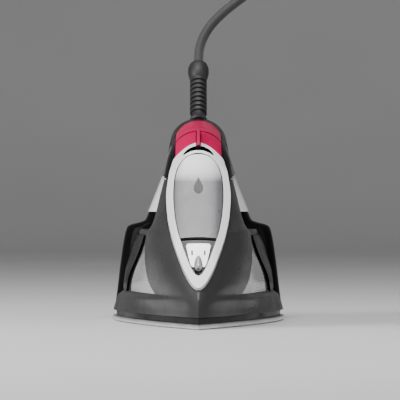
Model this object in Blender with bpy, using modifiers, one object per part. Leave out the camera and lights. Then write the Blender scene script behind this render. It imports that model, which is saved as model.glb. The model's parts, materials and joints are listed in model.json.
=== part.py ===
"""Steam iron with a front fill door, spray nozzle, swivelling cord guard and its cord.

Driving dimensions are in millimetres, and every point is turned into metres as its
mesh is made. +Z is up, the nose points to -Y and the iron is symmetric about X = 0.
"""

from math import acos, atan2, cos, hypot, pi, radians, sin, sqrt, tan

import bmesh
import bpy
from mathutils import Euler, Matrix, Vector

MM = 0.001
GAP = 0.3  # clearance between touching pieces
SEAM = 0.4  # visible joint line between outer covers

# Sole
SOLE_NOSE = -140.0
SOLE_REAR = 100.0
SOLE_HALF_WIDTH = 59.0
SOLE_THICKNESS = 3.0
SHIELD_THICKNESS = 3.4
STEAM_HOLE_RADIUS = 1.5

# Body
BODY_REAR = 84.0
SKIRT_HALF_WIDTH = 58.5
DECK_HEIGHT = 62.0
WALL = 3.0
NECK_TOP = 96.0

# Front line: a straight slope, one bend, then the top of the handle
SLOPE_FOOT = (-122.0, 25.0)
SLOPE_ANGLE = 50.5
TOP_ANGLE = 6.5
TOP_POINT = (54.0, 137.0)
BEND_RADIUS = 50.0

# Heel
HEEL_BACK_LOW = (140.0, 12.0)
HEEL_BACK_HIGH = (118.0, 135.0)
PILLAR_TOP = 104.0
WING_HEIGHT = 65.0

# Handle
HANDLE_WALL = 2.6
INLAY_HALF_WIDTH = 15.2
COVER_THICKNESS = 2.4
DOME_HEIGHT = 17.0
DOME_HALF_WIDTH = 17.6
BUTTON_TRAVEL = 2.0
BUTTON_GAP = 1.0

# Front pieces
BEZEL_LIFT = 1.4
BEZEL_DEPTH = 6.5
DOOR_LIFT = 0.9
DOOR_THICKNESS = 2.2
DOOR_HINGE_Z = 57.5
NOZZLE_RADIUS = 2.6

# Dial
DIAL_Y = 19.0
DIAL_RADIUS = 27.0
DIAL_HEIGHT = 13.0
DIAL_SHAFT_RADIUS = 3.5

# Cord
BALL_CENTRE = (0.0, 99.0, 130.0)
BALL_RADIUS = 9.0
CORD_DIAMETER = 7.0
GUARD_LENGTH = 62.0
GUARD_LEAN = 40.0  # from upright towards the rear
HANK_CENTRE = (165.3, -56.0)
HANK_REACH = 38.7  # from its middle to the centre of each end loop
HANK_RADIUS = 21.0  # of the inner turns at the end loops
HANK_WAIST = 5.0  # half-width of the inner turns where the tie pulls them together
HANK_HEIGHT = 21.0
HANK_LOW = 2.0

NOSE_POINTS = 10
FINE = 32


# ---------------------------------------------------------------- scene helpers


def clear_scene():
    for obj in list(bpy.data.objects):
        bpy.data.objects.remove(obj, do_unlink=True)


def collection(name, hidden=False):
    made = bpy.data.collections.new(name)
    bpy.context.scene.collection.children.link(made)
    made.hide_render = hidden
    return made


def material(name, colour, roughness, metallic=0.0):
    made = bpy.data.materials.new(name)
    made.use_nodes = True
    shader = made.node_tree.nodes["Principled BSDF"]
    shader.inputs["Base Color"].default_value = (*colour, 1.0)
    shader.inputs["Roughness"].default_value = roughness
    shader.inputs["Metallic"].default_value = metallic
    made.diffuse_color = (*colour, 1.0)
    return made


def add(name, mesh, finish):
    obj = bpy.data.objects.new(name, mesh)
    mesh.materials.clear()
    mesh.materials.append(finish)
    PARTS.objects.link(obj)
    return obj


def as_cutter(obj):
    PARTS.objects.unlink(obj)
    CUTTERS.objects.link(obj)
    obj.hide_render = True
    obj.display_type = "WIRE"
    return obj


def boolean(obj, other, operation="DIFFERENCE"):
    modifier = obj.modifiers.new(operation.title(), "BOOLEAN")
    modifier.operation = operation
    modifier.object = other
    return obj


def bevel(obj, width, segments=2, angle=40.0):
    modifier = obj.modifiers.new("Bevel", "BEVEL")
    modifier.width = width * MM
    modifier.segments = segments
    modifier.limit_method = "ANGLE"
    modifier.angle_limit = radians(angle)
    return obj


def bm_mesh(name, bm):
    bmesh.ops.recalc_face_normals(bm, faces=bm.faces)
    mesh = bpy.data.meshes.new(name)
    bm.to_mesh(mesh)
    bm.free()
    return mesh


def loft(name, sections, finish):
    """One closed skin over sections of equal length, each a closed loop of points in mm."""
    bm = bmesh.new()
    loops = [[bm.verts.new(Vector(p) * MM) for p in section] for section in sections]
    count = len(loops[0])
    for low, high in zip(loops, loops[1:]):
        for i in range(count):
            j = (i + 1) % count
            bm.faces.new((low[i], low[j], high[j], high[i]))
    bm.faces.new(loops[0])
    bm.faces.new(loops[-1])
    return add(name, bm_mesh(name, bm), finish)


def extruded(name, outline, start, end, axis, finish):
    """A flat outline, as pairs in mm, run from start to end along an axis."""
    order = {"X": (2, 0, 1), "Y": (0, 2, 1), "Z": (0, 1, 2)}[axis]

    def section(at):
        return [tuple((a, b, at)[k] for k in order) for a, b in outline]

    return loft(name, [section(start), section(end)], finish)


def plate(name, outline, low, high, finish, edge=0.0):
    """A flat plate: a filled 2D curve, extruded, then made a mesh."""
    curve = bpy.data.curves.new(name, "CURVE")
    curve.dimensions = "2D"
    curve.fill_mode = "BOTH"
    curve.extrude = (high - low) / 2 * MM
    spline = curve.splines.new("POLY")
    spline.points.add(len(outline) - 1)
    for point, (x, y) in zip(spline.points, outline):
        point.co = (x * MM, y * MM, 0.0, 1.0)
    spline.use_cyclic_u = True
    holder = bpy.data.objects.new(name + "_outline", curve)
    PARTS.objects.link(holder)
    holder.location.z = (low + high) / 2 * MM
    obj = solid_from_curve(name, holder, finish)
    if edge:
        bevel(obj, edge)
    return obj


def solid_from_curve(name, holder, finish):
    bpy.context.view_layer.update()
    graph = bpy.context.evaluated_depsgraph_get()
    mesh = bpy.data.meshes.new_from_object(holder.evaluated_get(graph))
    bm = bmesh.new()
    bm.from_mesh(mesh)
    bmesh.ops.remove_doubles(bm, verts=bm.verts, dist=1e-6)
    bm.to_mesh(mesh)
    bm.free()
    obj = add(name, mesh, finish)
    obj.matrix_world = holder.matrix_world
    bpy.data.objects.remove(holder, do_unlink=True)
    return obj


def tube(name, points, radius, finish, sides=2):
    curve = bpy.data.curves.new(name, "CURVE")
    curve.dimensions = "3D"
    curve.bevel_depth = radius * MM
    curve.bevel_resolution = sides
    curve.use_fill_caps = True
    spline = curve.splines.new("POLY")
    spline.points.add(len(points) - 1)
    for point, place in zip(spline.points, points):
        point.co = (*(Vector(place) * MM), 1.0)
    obj = bpy.data.objects.new(name, curve)
    curve.materials.append(finish)
    PARTS.objects.link(obj)
    return obj


def turned(name, profile, finish, steps=FINE, place=(0, 0, 0), turn=(0, 0, 0)):
    """A profile of (radius, height) pairs in mm, from the top down, turned about Z."""
    bm = bmesh.new()
    verts = [bm.verts.new((r * MM, 0.0, z * MM)) for r, z in profile]
    for a, b in zip(verts, verts[1:]):
        bm.edges.new((a, b))
    mesh = bpy.data.meshes.new(name)
    bm.to_mesh(mesh)
    bm.free()
    obj = add(name, mesh, finish)
    screw = obj.modifiers.new("Screw", "SCREW")
    screw.steps = screw.render_steps = steps
    screw.use_merge_vertices = True
    screw.merge_threshold = 1e-5
    obj.location = Vector(place) * MM
    obj.rotation_euler = Euler(turn)
    return obj


def cylinder(name, radius, low, high, place, finish, steps=24, turn=(0, 0, 0)):
    profile = [(0, high), (radius, high), (radius, low), (0, low)]
    return turned(name, profile, finish, steps, place, turn)


# ---------------------------------------------------------------- forms


def lerp(table, at):
    """Straight interpolation in rows of (key, value, ...), held at both ends."""
    if at <= table[0][0]:
        return table[0][1:]
    for low, high in zip(table, table[1:]):
        if at <= high[0]:
            t = (at - low[0]) / (high[0] - low[0])
            return tuple(a + (b - a) * t for a, b in zip(low[1:], high[1:]))
    return table[-1][1:]


def front_y(z):
    """The straight part of the front line."""
    return SLOPE_FOOT[0] + (z - SLOPE_FOOT[1]) / tan(radians(SLOPE_ANGLE))


def bend():
    """Where the slope ends and the top begins, as (slope length, arc centre)."""
    a, b = radians(SLOPE_ANGLE), radians(TOP_ANGLE)
    y0, z0 = SLOPE_FOOT
    y1, z1 = TOP_POINT
    y = (z1 - z0 + y0 * tan(a) - y1 * tan(b)) / (tan(a) - tan(b))
    tangent = BEND_RADIUS * tan((a - b) / 2)
    length = (y - y0) / cos(a) - tangent
    centre = (
        y0 + length * cos(a) + BEND_RADIUS * sin(a),
        z0 + length * sin(a) - BEND_RADIUS * cos(a),
    )
    return length, centre


def spine(s):
    """Point, outward normal and angle of the front line, s mm along it from its foot."""
    straight, centre = bend()
    a, b = radians(SLOPE_ANGLE), radians(TOP_ANGLE)
    arc = BEND_RADIUS * (a - b)
    angle = a - min(max(s - straight, 0.0) / BEND_RADIUS, a - b)
    normal = (-sin(angle), cos(angle))
    if s <= straight:
        point = (SLOPE_FOOT[0] + s * cos(a), SLOPE_FOOT[1] + s * sin(a))
    else:
        point = (centre[0] + BEND_RADIUS * normal[0], centre[1] + BEND_RADIUS * normal[1])
    if s > straight + arc:
        more = s - straight - arc
        point = (point[0] + more * cos(b), point[1] + more * sin(b))
    return point, normal, angle


def along_to(value, axis):
    """How far along the front line its y (axis 0) or z (axis 1) reaches a value."""
    low, high = -20.0, 320.0
    for _ in range(50):
        middle = (low + high) / 2
        if spine(middle)[0][axis] < value:
            low = middle
        else:
            high = middle
    return low


def crown(x, s):
    """How far the front surface falls away at x from the middle."""
    straight, _ = bend()
    blend = min(max((s - straight + 12.0) / 45.0, 0.0), 1.0)
    slope = 0.008 * x * x
    top = DOME_HEIGHT * (1 - sqrt(1 - min(abs(x) / DOME_HALF_WIDTH, 1.0) ** 2))
    return slope + (top - slope) * blend


def front_point(x, s, lift):
    (y, z), (ny, nz), _ = spine(s)
    out = lift - crown(x, s)
    return (x, y + ny * out, z + nz * out)


def front_plate(name, rows, lift, depth, finish, columns=8):
    """A plate that follows the front surface. Rows are (distance along, half-width)."""
    bm = bmesh.new()
    skins = []
    for level in (lift, lift - depth):
        skins.append(
            [
                [
                    bm.verts.new(Vector(front_point((2 * i / columns - 1) * w, s, level)) * MM)
                    for i in range(columns + 1)
                ]
                for s, w in rows
            ]
        )
    top, under = skins
    for j in range(len(rows) - 1):
        for i in range(columns):
            bm.faces.new((top[j][i], top[j][i + 1], top[j + 1][i + 1], top[j + 1][i]))
            bm.faces.new((under[j][i], under[j + 1][i], under[j + 1][i + 1], under[j][i + 1]))
        for i in (0, columns):
            bm.faces.new((top[j][i], top[j + 1][i], under[j + 1][i], under[j][i]))
    for j in (0, len(rows) - 1):
        for i in range(columns):
            bm.faces.new((top[j][i], top[j][i + 1], under[j][i + 1], under[j][i]))
    return add(name, bm_mesh(name, bm), finish)


def front_prism(name, outline, s, out, deep, finish):
    """An outline of (x, distance along) pairs, run straight through the front at s."""
    (y, z), (ny, nz), angle = spine(s)
    ty, tz = cos(angle), sin(angle)

    def section(level):
        return [
            (x, y + ty * (t - s) + ny * level, z + tz * (t - s) + nz * level) for x, t in outline
        ]

    return loft(name, [section(-deep), section(out)], finish)


def plan(nose, wide, rear, half_width, a, b, z, flare=0.0, corner=12.0):
    """A boat-shaped outline at height z: pointed or blunt at the nose, square at the rear."""
    half = []
    for k in range(NOSE_POINTS + 1):
        turn = k / NOSE_POINTS * pi / 2
        y = wide - (wide - nose) * cos(turn) ** (2 / a)
        half.append((half_width * sin(turn) ** (2 / b) if k else 0.0, y))
    start = rear - corner
    half += [(half_width, wide + (start - wide) * k / 4) for k in (1, 2, 3, 4)]
    half = [(x + flare * eased((y - FLARE_START) / (FLARE_END - FLARE_START)), y) for x, y in half]
    widest = half[-1][0]
    for k in range(1, 5):
        turn = k / 4 * pi / 2
        half.append((widest - corner * (1 - cos(turn)), start + corner * sin(turn)))
    half.append((0.0, rear))
    return [(x, y, z) for x, y in half] + [(-x, y, z) for x, y in reversed(half[1:-1])]


def eased(t):
    t = min(max(t, 0.0), 1.0)
    return t * t * (3 - 2 * t)


FLARE_START, FLARE_END = -30.0, 74.0
# Height, full-width place, half-width, nose roundness a and b, flare towards the heel
BODY_FORM = (
    (7.0, 67.0, SKIRT_HALF_WIDTH, 1.6, 1.0, 0.0),
    (12.0, 67.0, SKIRT_HALF_WIDTH - 1.4, 1.5, 1.15, 0.0),
    (18.0, 67.0, SKIRT_HALF_WIDTH - 3.9, 1.4, 1.45, 0.0),
    (20.0, 60.0, SKIRT_HALF_WIDTH - 9.5, 1.42, 1.55, 2.2),
    (28.0, 40.0, SKIRT_HALF_WIDTH - 14.0, 1.55, 1.95, 5.6),
    (37.0, 12.0, SKIRT_HALF_WIDTH - 18.3, 1.7, 2.3, 8.2),
    (50.0, -18.0, SKIRT_HALF_WIDTH - 22.3, 1.95, 2.7, 8.4),
    (59.0, -34.0, SKIRT_HALF_WIDTH - 24.0, 2.0, 2.8, 6.4),
)
# Height, half-width
NECK_FORM = ((62.6, 32.6), (65.0, 31.0), (70.0, 29.0), (77.0, 27.2), (86.0, 25.2), (96.0, 22.6))
LOOP_FRONT_LOW = (-38.0, 62.0)
LOOP_FRONT_HIGH = (-16.0, 95.0)
NOSE_INSET = 1.2


def loop_front_y(z):
    (y0, z0), (y1, z1) = LOOP_FRONT_LOW, LOOP_FRONT_HIGH
    return y0 + (z - z0) * (y1 - y0) / (z1 - z0)


def body_section(z, grow):
    wide, half_width, a, b, flare = lerp(BODY_FORM, z)
    nose = front_y(z) + NOSE_INSET - grow * 1.3
    return plan(nose, wide, BODY_REAR + grow, half_width + grow, a, b, z, flare)


def neck_section(z, grow, at=None):
    (half_width,) = lerp(NECK_FORM, z)
    nose = front_y(z) + NOSE_INSET - grow * 1.3
    rear = loop_front_y(z) + grow
    wide = nose + (rear - nose) * 0.8
    depth = rear - wide - 1.0
    return plan(nose, wide, rear, half_width + grow, 2.0, 2.6, z if at is None else at, 0.0, depth)


def body_sections(grow, bottom, top):
    """The whole outer form, from the skirt over the deck to the top of the neck."""
    deck = DECK_HEIGHT + grow
    heights = [row[0] for row in BODY_FORM if bottom < row[0] < deck - 2.4]
    found = [body_section(bottom, grow)] + [body_section(z, grow) for z in heights]
    inset = plan(
        front_y(deck) + NOSE_INSET - grow * 1.3,
        -42.0,
        BODY_REAR - 1.5 + grow,
        SKIRT_HALF_WIDTH - 25.2 + grow,
        2.0,
        2.8,
        deck,
        6.0,
    )
    found.append(inset)
    found.append(neck_section(NECK_FORM[0][0], grow, deck + 0.6))
    found += [neck_section(z, grow) for z, _ in NECK_FORM[1:-1] if z > deck + 0.8]
    found.append(neck_section(top, grow))
    return found


def heel_back_y(z):
    (y0, z0), (y1, z1) = HEEL_BACK_LOW, HEEL_BACK_HIGH
    return y0 + (z - z0) * (y1 - y0) / (z1 - z0)


# Height, front of the heel, half-width, squareness
HEEL_FORM = (
    (7.3, BODY_REAR + SEAM, SKIRT_HALF_WIDTH, 5.0),
    (18.0, BODY_REAR + SEAM, SKIRT_HALF_WIDTH - 1.6, 5.0),
    (40.0, BODY_REAR + SEAM, SKIRT_HALF_WIDTH - 4.3, 5.0),
    (WING_HEIGHT - 5.0, BODY_REAR + SEAM, SKIRT_HALF_WIDTH - 7.6, 4.5),
    (WING_HEIGHT - 0.6, BODY_REAR + SEAM, SKIRT_HALF_WIDTH - 9.6, 4.0),
    (WING_HEIGHT + 1.2, 82.5, 42.5, 3.6),
    (WING_HEIGHT + 3.0, 77.5, 37.4, 3.4),
    (74.0, 75.5, 34.6, 3.2),
    (85.0, 73.6, 30.0, 3.0),
    (97.0, 71.8, 25.2, 2.8),
    (PILLAR_TOP, 71.0, 22.6, 2.6),
)


def rounded(half_width, y0, y1, z, power, count=28):
    """A superellipse between y0 and y1 at height z."""
    middle, reach = (y0 + y1) / 2, (y1 - y0) / 2
    points = []
    for k in range(count):
        turn = (k + 0.5) / count * 2 * pi
        c, s = cos(turn), sin(turn)
        x = half_width * abs(s) ** (2 / power) * (1 if s > 0 else -1)
        y = middle - reach * abs(c) ** (2 / power) * (1 if c > 0 else -1)
        points.append((x, y, z))
    return points


def heel_section(z, grow):
    front, half_width, power = lerp(HEEL_FORM, z)
    return rounded(half_width + grow, front - grow, heel_back_y(z) + grow, z, power)


def heel_sections(grow, bottom, top):
    heights = [row[0] for row in HEEL_FORM if bottom < row[0] < top]
    return [heel_section(z, grow) for z in [bottom, *heights, top]]


# Underside point, top point, half-width, waist and squareness, of each station round the handle
HANDLE_FORM = (
    ((-16.0, 96.0), (-63.8, 96.0), 22.7, 0.5, 2.9),
    ((-13.0, 99.0), (-56.3, 104.4), 21.8, 0.5, 2.7),
    ((-7.5, 102.0), (-46.0, 115.3), 20.4, 0.52, 2.4),
    ((0.0, 103.6), (-33.0, 123.6), 18.8, 0.56, 2.15),
    ((12.0, 105.0), (-14.0, 129.2), 17.9, 0.6, 2.05),
    ((28.0, 106.6), (20.0, 133.1), 17.6, 0.62, 2.0),
    ((44.0, 108.2), (50.0, 136.5), 17.6, 0.6, 2.05),
    ((56.0, 109.0), (78.0, 138.2), 17.9, 0.56, 2.2),
    ((64.0, 108.6), (100.0, 137.0), 18.8, 0.52, 2.4),
    ((69.0, 106.8), (116.0, 128.0), 20.4, 0.5, 2.5),
    ((70.7, PILLAR_TOP + 0.4), (123.3, PILLAR_TOP + 0.4), 22.5, 0.5, 2.6),
)


def handle_section(inner, outer, half_width, grow, waist, power, count=26):
    """Two half superellipses across the handle, widest at waist of the way down."""
    (y0, z0), (y1, z1) = inner, outer
    length = hypot(y1 - y0, z1 - z0)
    ty, tz = (y1 - y0) / length, (z1 - z0) / length
    my, mz = y1 - ty * length * waist, z1 - tz * length * waist
    points = []
    for k in range(count):
        turn = (k + 0.5) / count * 2 * pi
        c, s = cos(turn), sin(turn)
        reach = length * (waist if c > 0 else 1 - waist) + grow
        x = (half_width + grow) * abs(s) ** (2 / power) * (1 if s > 0 else -1)
        t = reach * abs(c) ** (2 / power) * (1 if c > 0 else -1)
        points.append((x, my + ty * t, mz + tz * t))
    return points


def handle_sections(grow, overrun=0.0):
    """The handle from the neck round to the rear pillar, run past both ends by overrun."""
    found = [handle_section(*row[:3], grow, *row[3:]) for row in HANDLE_FORM]
    found[0] = [(x, y + GAP * 0.5, z + GAP) for x, y, z in found[0]]
    if overrun:
        found.insert(0, [(x, y, z - overrun) for x, y, z in found[0]])
        found.append([(x, y, z - overrun) for x, y, z in found[-1]])
    return found


# ---------------------------------------------------------------- outlines on the front

# Height, half-width of the bezel's outer edge up the straight slope
BEZEL_EDGE = (
    (25.2, 1.2),
    (27.0, 3.4),
    (30.6, 6.0),
    (37.6, 9.6),
    (46.0, 12.9),
    (53.6, 15.6),
    (62.0, 18.0),
    (74.0, 20.2),
    (86.0, 21.0),
    (98.0, 19.6),
    (106.0, 17.9),
    (110.5, 16.4),
    (113.0, 13.6),
    (115.5, 9.9),
    (117.4, 6.2),
    (118.6, 2.2),
)
# Height, half-width of the opening inside the bezel
BEZEL_OPENING = (
    (32.8, 0.9),
    (34.5, 2.9),
    (37.6, 4.6),
    (46.0, 8.1),
    (53.6, 10.8),
    (62.0, 13.5),
    (74.0, 15.6),
    (86.0, 16.4),
    (96.0, 15.8),
    (102.0, 14.3),
    (106.0, 12.3),
    (109.0, 9.6),
    (111.0, 6.4),
    (112.0, 2.6),
)


def front_rows(table, grow=0.0, low=None, high=None):
    """Rows for a front plate from (height, half-width) pairs, cut off at two heights."""
    low = table[0][0] if low is None else low
    high = table[-1][0] if high is None else high
    heights = [low] + [z for z, _ in table if low < z < high] + [high]
    rows = [[along_to(z, 1), lerp(table, z)[0] + grow] for z in heights]
    if low == table[0][0]:
        rows[0][0] -= grow
    if high == table[-1][0]:
        rows[-1][0] += grow
    return rows


def arc_points(radius, start, stop, count, centre=(0.0, 0.0)):
    """Points round a centre, angles in degrees from straight up, clockwise."""
    found = []
    for k in range(count):
        turn = radians(start + (stop - start) * k / (count - 1))
        found.append((centre[0] + radius * sin(turn), centre[1] + radius * cos(turn)))
    return found


# ---------------------------------------------------------------- base


SOLE_WIDEST = 76.0
NOSE_POWER = 1.6
HOLE_PAIRS, HOLE_FIRST, HOLE_PITCH = 7, -108.0, 24.0


def sole_outline(grow, nose=SOLE_NOSE, rear=SOLE_REAR, count=16):
    """The pointed outline of the sole, closer spaced towards the nose."""
    wide = SOLE_HALF_WIDTH + grow
    half = []
    for k in range(1, count + 1):
        t = (k / count) ** 1.25
        half.append((wide * (1 - (1 - t) ** NOSE_POWER), nose - grow + t * (SOLE_WIDEST - nose + grow)))
    rear += grow
    for k in range(1, 6):
        turn = k / 6 * pi / 2
        y = SOLE_WIDEST + (rear - SOLE_WIDEST) * sqrt(sin(turn))
        half.append((wide * sqrt(cos(turn)), y))
    return [(0.0, nose - grow)] + half + [(0.0, rear)] + [(-x, y) for x, y in reversed(half)]


def steam_hole_places():
    """Two rows of holes that follow the sole's edge, and one at the nose."""
    for k in range(HOLE_PAIRS):
        y = HOLE_FIRST + k * HOLE_PITCH
        along = (y - SOLE_NOSE) / (SOLE_WIDEST - SOLE_NOSE)
        x = 0.62 * SOLE_HALF_WIDTH * (1 - (1 - along) ** NOSE_POWER) + 3.0
        yield (x, y)
        yield (-x, y)
    yield (0.0, HOLE_FIRST - 14.0)


def soleplate():
    obj = plate("soleplate", sole_outline(0.0), 0.0, SOLE_THICKNESS, METAL, 0.8)
    bm = bmesh.new()
    for x, y in steam_hole_places():
        at = Matrix.Translation(Vector((x, y, SOLE_THICKNESS / 2)) * MM)
        bmesh.ops.create_cone(
            bm,
            cap_ends=True,
            segments=8,
            radius1=STEAM_HOLE_RADIUS * MM,
            radius2=STEAM_HOLE_RADIUS * MM,
            depth=3 * SOLE_THICKNESS * MM,
            matrix=at,
        )
    drills = as_cutter(add("steam_hole_drills", bm_mesh("steam_hole_drills", bm), METAL))
    return boolean(obj, drills)


SHIELD_LOW = SOLE_THICKNESS + GAP
SHIELD_HIGH = SHIELD_LOW + SHIELD_THICKNESS
CASTING_INSET = 11.0
CASTING_REAR = BODY_REAR - WALL + CASTING_INSET - 1.5
CASTING_HIGH = 15.0


def heat_shield():
    """A black ring that keeps the skirt off the hot sole."""
    obj = plate("heat_shield", sole_outline(-2.4), SHIELD_LOW, SHIELD_HIGH, BLACK)
    hole = sole_outline(-CASTING_INSET + GAP, SOLE_NOSE + 8.0, CASTING_REAR)
    return boolean(obj, as_cutter(plate("shield_hole", hole, 0.0, 12.0, BLACK)))


def heater_casting():
    outline = sole_outline(-CASTING_INSET, SOLE_NOSE + 8.0, CASTING_REAR)
    return bevel(plate("heater_casting", outline, SHIELD_LOW, CASTING_HIGH, CAST), 1.0, 1)


def heating_element():
    """A horseshoe rod lying on the casting, its ends turned up at the rear."""
    low = CASTING_HIGH + GAP + 3.4
    side = [(21.0 * sin(radians(a)), -62.0 - 26.0 * cos(radians(a)), low) for a in range(0, 91, 15)]
    side += [(24.0, -30.0, low), (26.0, 10.0, low), (26.0, 64.0, low), (26.0, 69.0, low + 2.0)]
    side += [(26.0, 71.0, low + 6.0), (26.0, 71.0, low + 12.0)]
    other = [(-x, y, z) for x, y, z in side[1:]]
    return tube("heating_element", list(reversed(other)) + side, 3.4, STEEL, 2)


def steam_chamber_cover():
    outline = [(x * 0.26, y * 0.5 - 12.0) for x, y in sole_outline(0.0, count=8)]
    low = CASTING_HIGH + GAP
    return plate("steam_chamber_cover", outline, low, low + 2.0, STEEL)


def thermostat():
    low = CASTING_HIGH + GAP + 2.0 + GAP
    profile = [(0, low + 7), (8, low + 7), (8, low + 4.5), (9.5, low + 4.5), (9.5, low), (0, low)]
    return turned("thermostat", profile, CERAMIC, 24, (0, DIAL_Y, 0))


def thermal_fuse():
    low = CASTING_HIGH + GAP
    return tube("thermal_fuse", [(-9, 46, low + 3), (9, 46, low + 3)], 2.6, CERAMIC, 2)


def terminal_block():
    bm = bmesh.new()
    bmesh.ops.create_cube(bm, size=1.0)
    bmesh.ops.scale(bm, vec=Vector((34, 12, 16)) * MM, verts=bm.verts)
    obj = add("terminal_block", bm_mesh("terminal_block", bm), CERAMIC)
    obj.location = Vector((0, 112, 40)) * MM
    return bevel(obj, 0.8, 1)


# ---------------------------------------------------------------- body


def window_outline(grow=0.0):
    """The tank window seen from the side, as (y, z)."""
    low, top = 20.6, DECK_HEIGHT - 5.0
    shape = [
        (-64.0, low),
        (18.0, low),
        (9.0, 32.0),
        (-3.0, 44.0),
        (-14.0, 52.0),
        (-25.0, top),
        (-32.0, top - 2.4),
        (-38.0, 48.0),
        (-45.0, 38.0),
        (-54.0, 28.0),
    ]
    return grown(shape, grow)


def side_panel_outline(grow=0.0):
    """The leaf-shaped side panel seen from the side, as (y, z)."""
    shape = [
        (30.0, 20.6),
        (46.0, 20.6),
        (58.0, 28.0),
        (67.0, 40.0),
        (74.0, 58.4),
        (-13.0, 58.4),
        (-6.0, 54.0),
        (5.0, 46.0),
        (16.0, 35.0),
        (24.0, 26.0),
    ]
    return grown(shape, grow)


def grown(shape, grow):
    """An outline moved out by grow along the mean of its edges' normals."""
    if not grow:
        return shape
    count = len(shape)
    area = sum(
        shape[i][0] * shape[(i + 1) % count][1] - shape[(i + 1) % count][0] * shape[i][1]
        for i in range(count)
    )
    side = 1.0 if area > 0 else -1.0
    found = []
    for i in range(count):
        (ax, ay), (bx, by), (cx, cy) = shape[i - 1], shape[i], shape[(i + 1) % count]
        first = Vector((by - ay, ax - bx)).normalized()
        second = Vector((cy - by, bx - cx)).normalized()
        way = (first + second).normalized()
        reach = side * grow / max(way.dot(first), 0.5)
        found.append((bx + way.x * reach, by + way.y * reach))
    return found


def body_form(name, grow, bottom, top, finish):
    return loft(name, body_sections(grow, bottom, top), finish)


def side_prisms(name, outline, inner, outer):
    """The same side outline cut on the left and on the right."""
    made = []
    for sign in (1, -1):
        span = sorted((sign * inner, sign * outer))
        made.append(as_cutter(extruded(f"{name}_{sign}", outline, *span, "X", BODY)))
    return made


def body_shell():
    obj = body_form("body_shell", 0.0, BODY_FORM[0][0], NECK_TOP - GAP, BODY)
    hollow = as_cutter(body_form("body_hollow", -WALL, -2.0, NECK_TOP + 6.0, BODY))
    boolean(obj, hollow)
    front = front_plate("bezel_pocket", front_rows(BEZEL_EDGE, GAP), 12.0, 24.0, BODY)
    boolean(obj, as_cutter(front))
    for cutter in side_prisms("window_hole", window_outline(GAP), 12.0, 70.0):
        boolean(obj, cutter)
    for cutter in side_prisms("panel_hole", side_panel_outline(GAP), 12.0, 70.0):
        boolean(obj, cutter)
    shaft = cylinder("deck_drill", DIAL_SHAFT_RADIUS + 1.0, 50, 70, (0, DIAL_Y, 0), BODY)
    boolean(obj, as_cutter(shaft))
    return obj


def skin_pieces(name, outline, lift, depth, finish, top=DECK_HEIGHT):
    """A piece of the body's skin inside a side outline, one for each side."""
    made = []
    for side, sign in (("left", -1), ("right", 1)):
        obj = body_form(f"{name}_{side}", lift, BODY_FORM[0][0], top, finish)
        inner = as_cutter(body_form(f"{name}_inside_{side}", lift - depth, -2.0, top + 9.0, finish))
        span = sorted((sign * 14.0, sign * 75.0))
        keep = as_cutter(extruded(f"{name}_keep_{side}", outline, *span, "X", finish))
        boolean(obj, inner)
        boolean(obj, keep, "INTERSECT")
        made.append(obj)
    return made


def tank_windows():
    return skin_pieces("tank_window", window_outline(), -0.2, 2.4, WINDOW, NECK_TOP - 5.0)


def side_panels():
    return skin_pieces("side_panel", side_panel_outline(), 1.3, 3.6, GLOSS, NECK_TOP - 5.0)


TANK_LOW, TANK_HIGH = 27.0, 56.0
TANK_WALL = 1.6
FILL_Z = 80.0


def tank_sections(grow):
    outline = []
    for z in (TANK_LOW - grow, 40.0, TANK_HIGH + grow):
        wide, half_width, a, b, flare = lerp(BODY_FORM, z)
        nose, rear, side = front_y(z) + 15.0 - grow, 64.0 + grow, half_width - 5.4 + grow
        outline.append(plan(nose, min(wide, 44.0), rear, side, a, b, z, flare * 0.8))
    return outline


def water_tank():
    """A hollow tank with a sleeve for the dial shaft and a neck hole at the front."""
    obj = loft("water_tank", tank_sections(0.0), TANK)
    cavity = loft("tank_cavity", tank_sections(-TANK_WALL), TANK)
    post = cylinder("tank_post", 8.0, 20, 70, (0, DIAL_Y, 0), TANK)
    boolean(cavity, as_cutter(post))
    boolean(obj, as_cutter(cavity))
    sleeve = cylinder("tank_sleeve", DIAL_SHAFT_RADIUS + 1.5, 20, 70, (0, DIAL_Y, 0), TANK)
    boolean(obj, as_cutter(sleeve))
    mouth = cylinder("tank_mouth", FILLER_RADIUS, 50, 62, FILLER_PLACE, TANK)
    boolean(obj, as_cutter(mouth))
    return obj


FILLER_RADIUS = 6.0
FILLER_PLACE = (0.0, -56.0, 0.0)


def filler_neck():
    """A funnel from under the fill door down to the tank."""
    low, high, r = TANK_HIGH + GAP, 76.0, FILLER_RADIUS
    profile = [(r, high), (r + 5, high), (r + 5, high - 2), (r + 1.5, high - 5)]
    profile += [(r + 1.5, low), (r, low), (r, high)]
    return turned("filler_neck", profile, TANK, 24, FILLER_PLACE)


# ---------------------------------------------------------------- front pieces


def front_bezel():
    obj = front_plate("front_bezel", front_rows(BEZEL_EDGE), BEZEL_LIFT, BEZEL_DEPTH, WHITE)
    opening = front_plate("bezel_opening", front_rows(BEZEL_OPENING), 9.0, 26.0, WHITE)
    boolean(obj, as_cutter(opening))
    boolean(obj, crescent_cutter())
    bevel(obj, 0.5, 1, 50)
    return boolean(obj, hinge_bore())


CRESCENT_TOP = 116.6
CRESCENT_FOOT = 113.8
CRESCENT_RADIUS = 11.0


def crescent_middle():
    """Distance along the front line of the crescent's centre, where the lever turns."""
    return along_to(CRESCENT_TOP, 1) - CRESCENT_RADIUS


def crescent_cutter():
    """The arc-shaped slot that the steam lever travels in."""
    middle = crescent_middle()
    outer = arc_points(CRESCENT_RADIUS, -64, 64, 13, (0, middle))
    lower = 15.5
    inner = arc_points(lower, 40, -40, 9, (0, along_to(CRESCENT_FOOT, 1) - lower))
    return as_cutter(front_prism("crescent_slot", outer + inner, middle + 9, 9, 14, BLACK))


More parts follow.
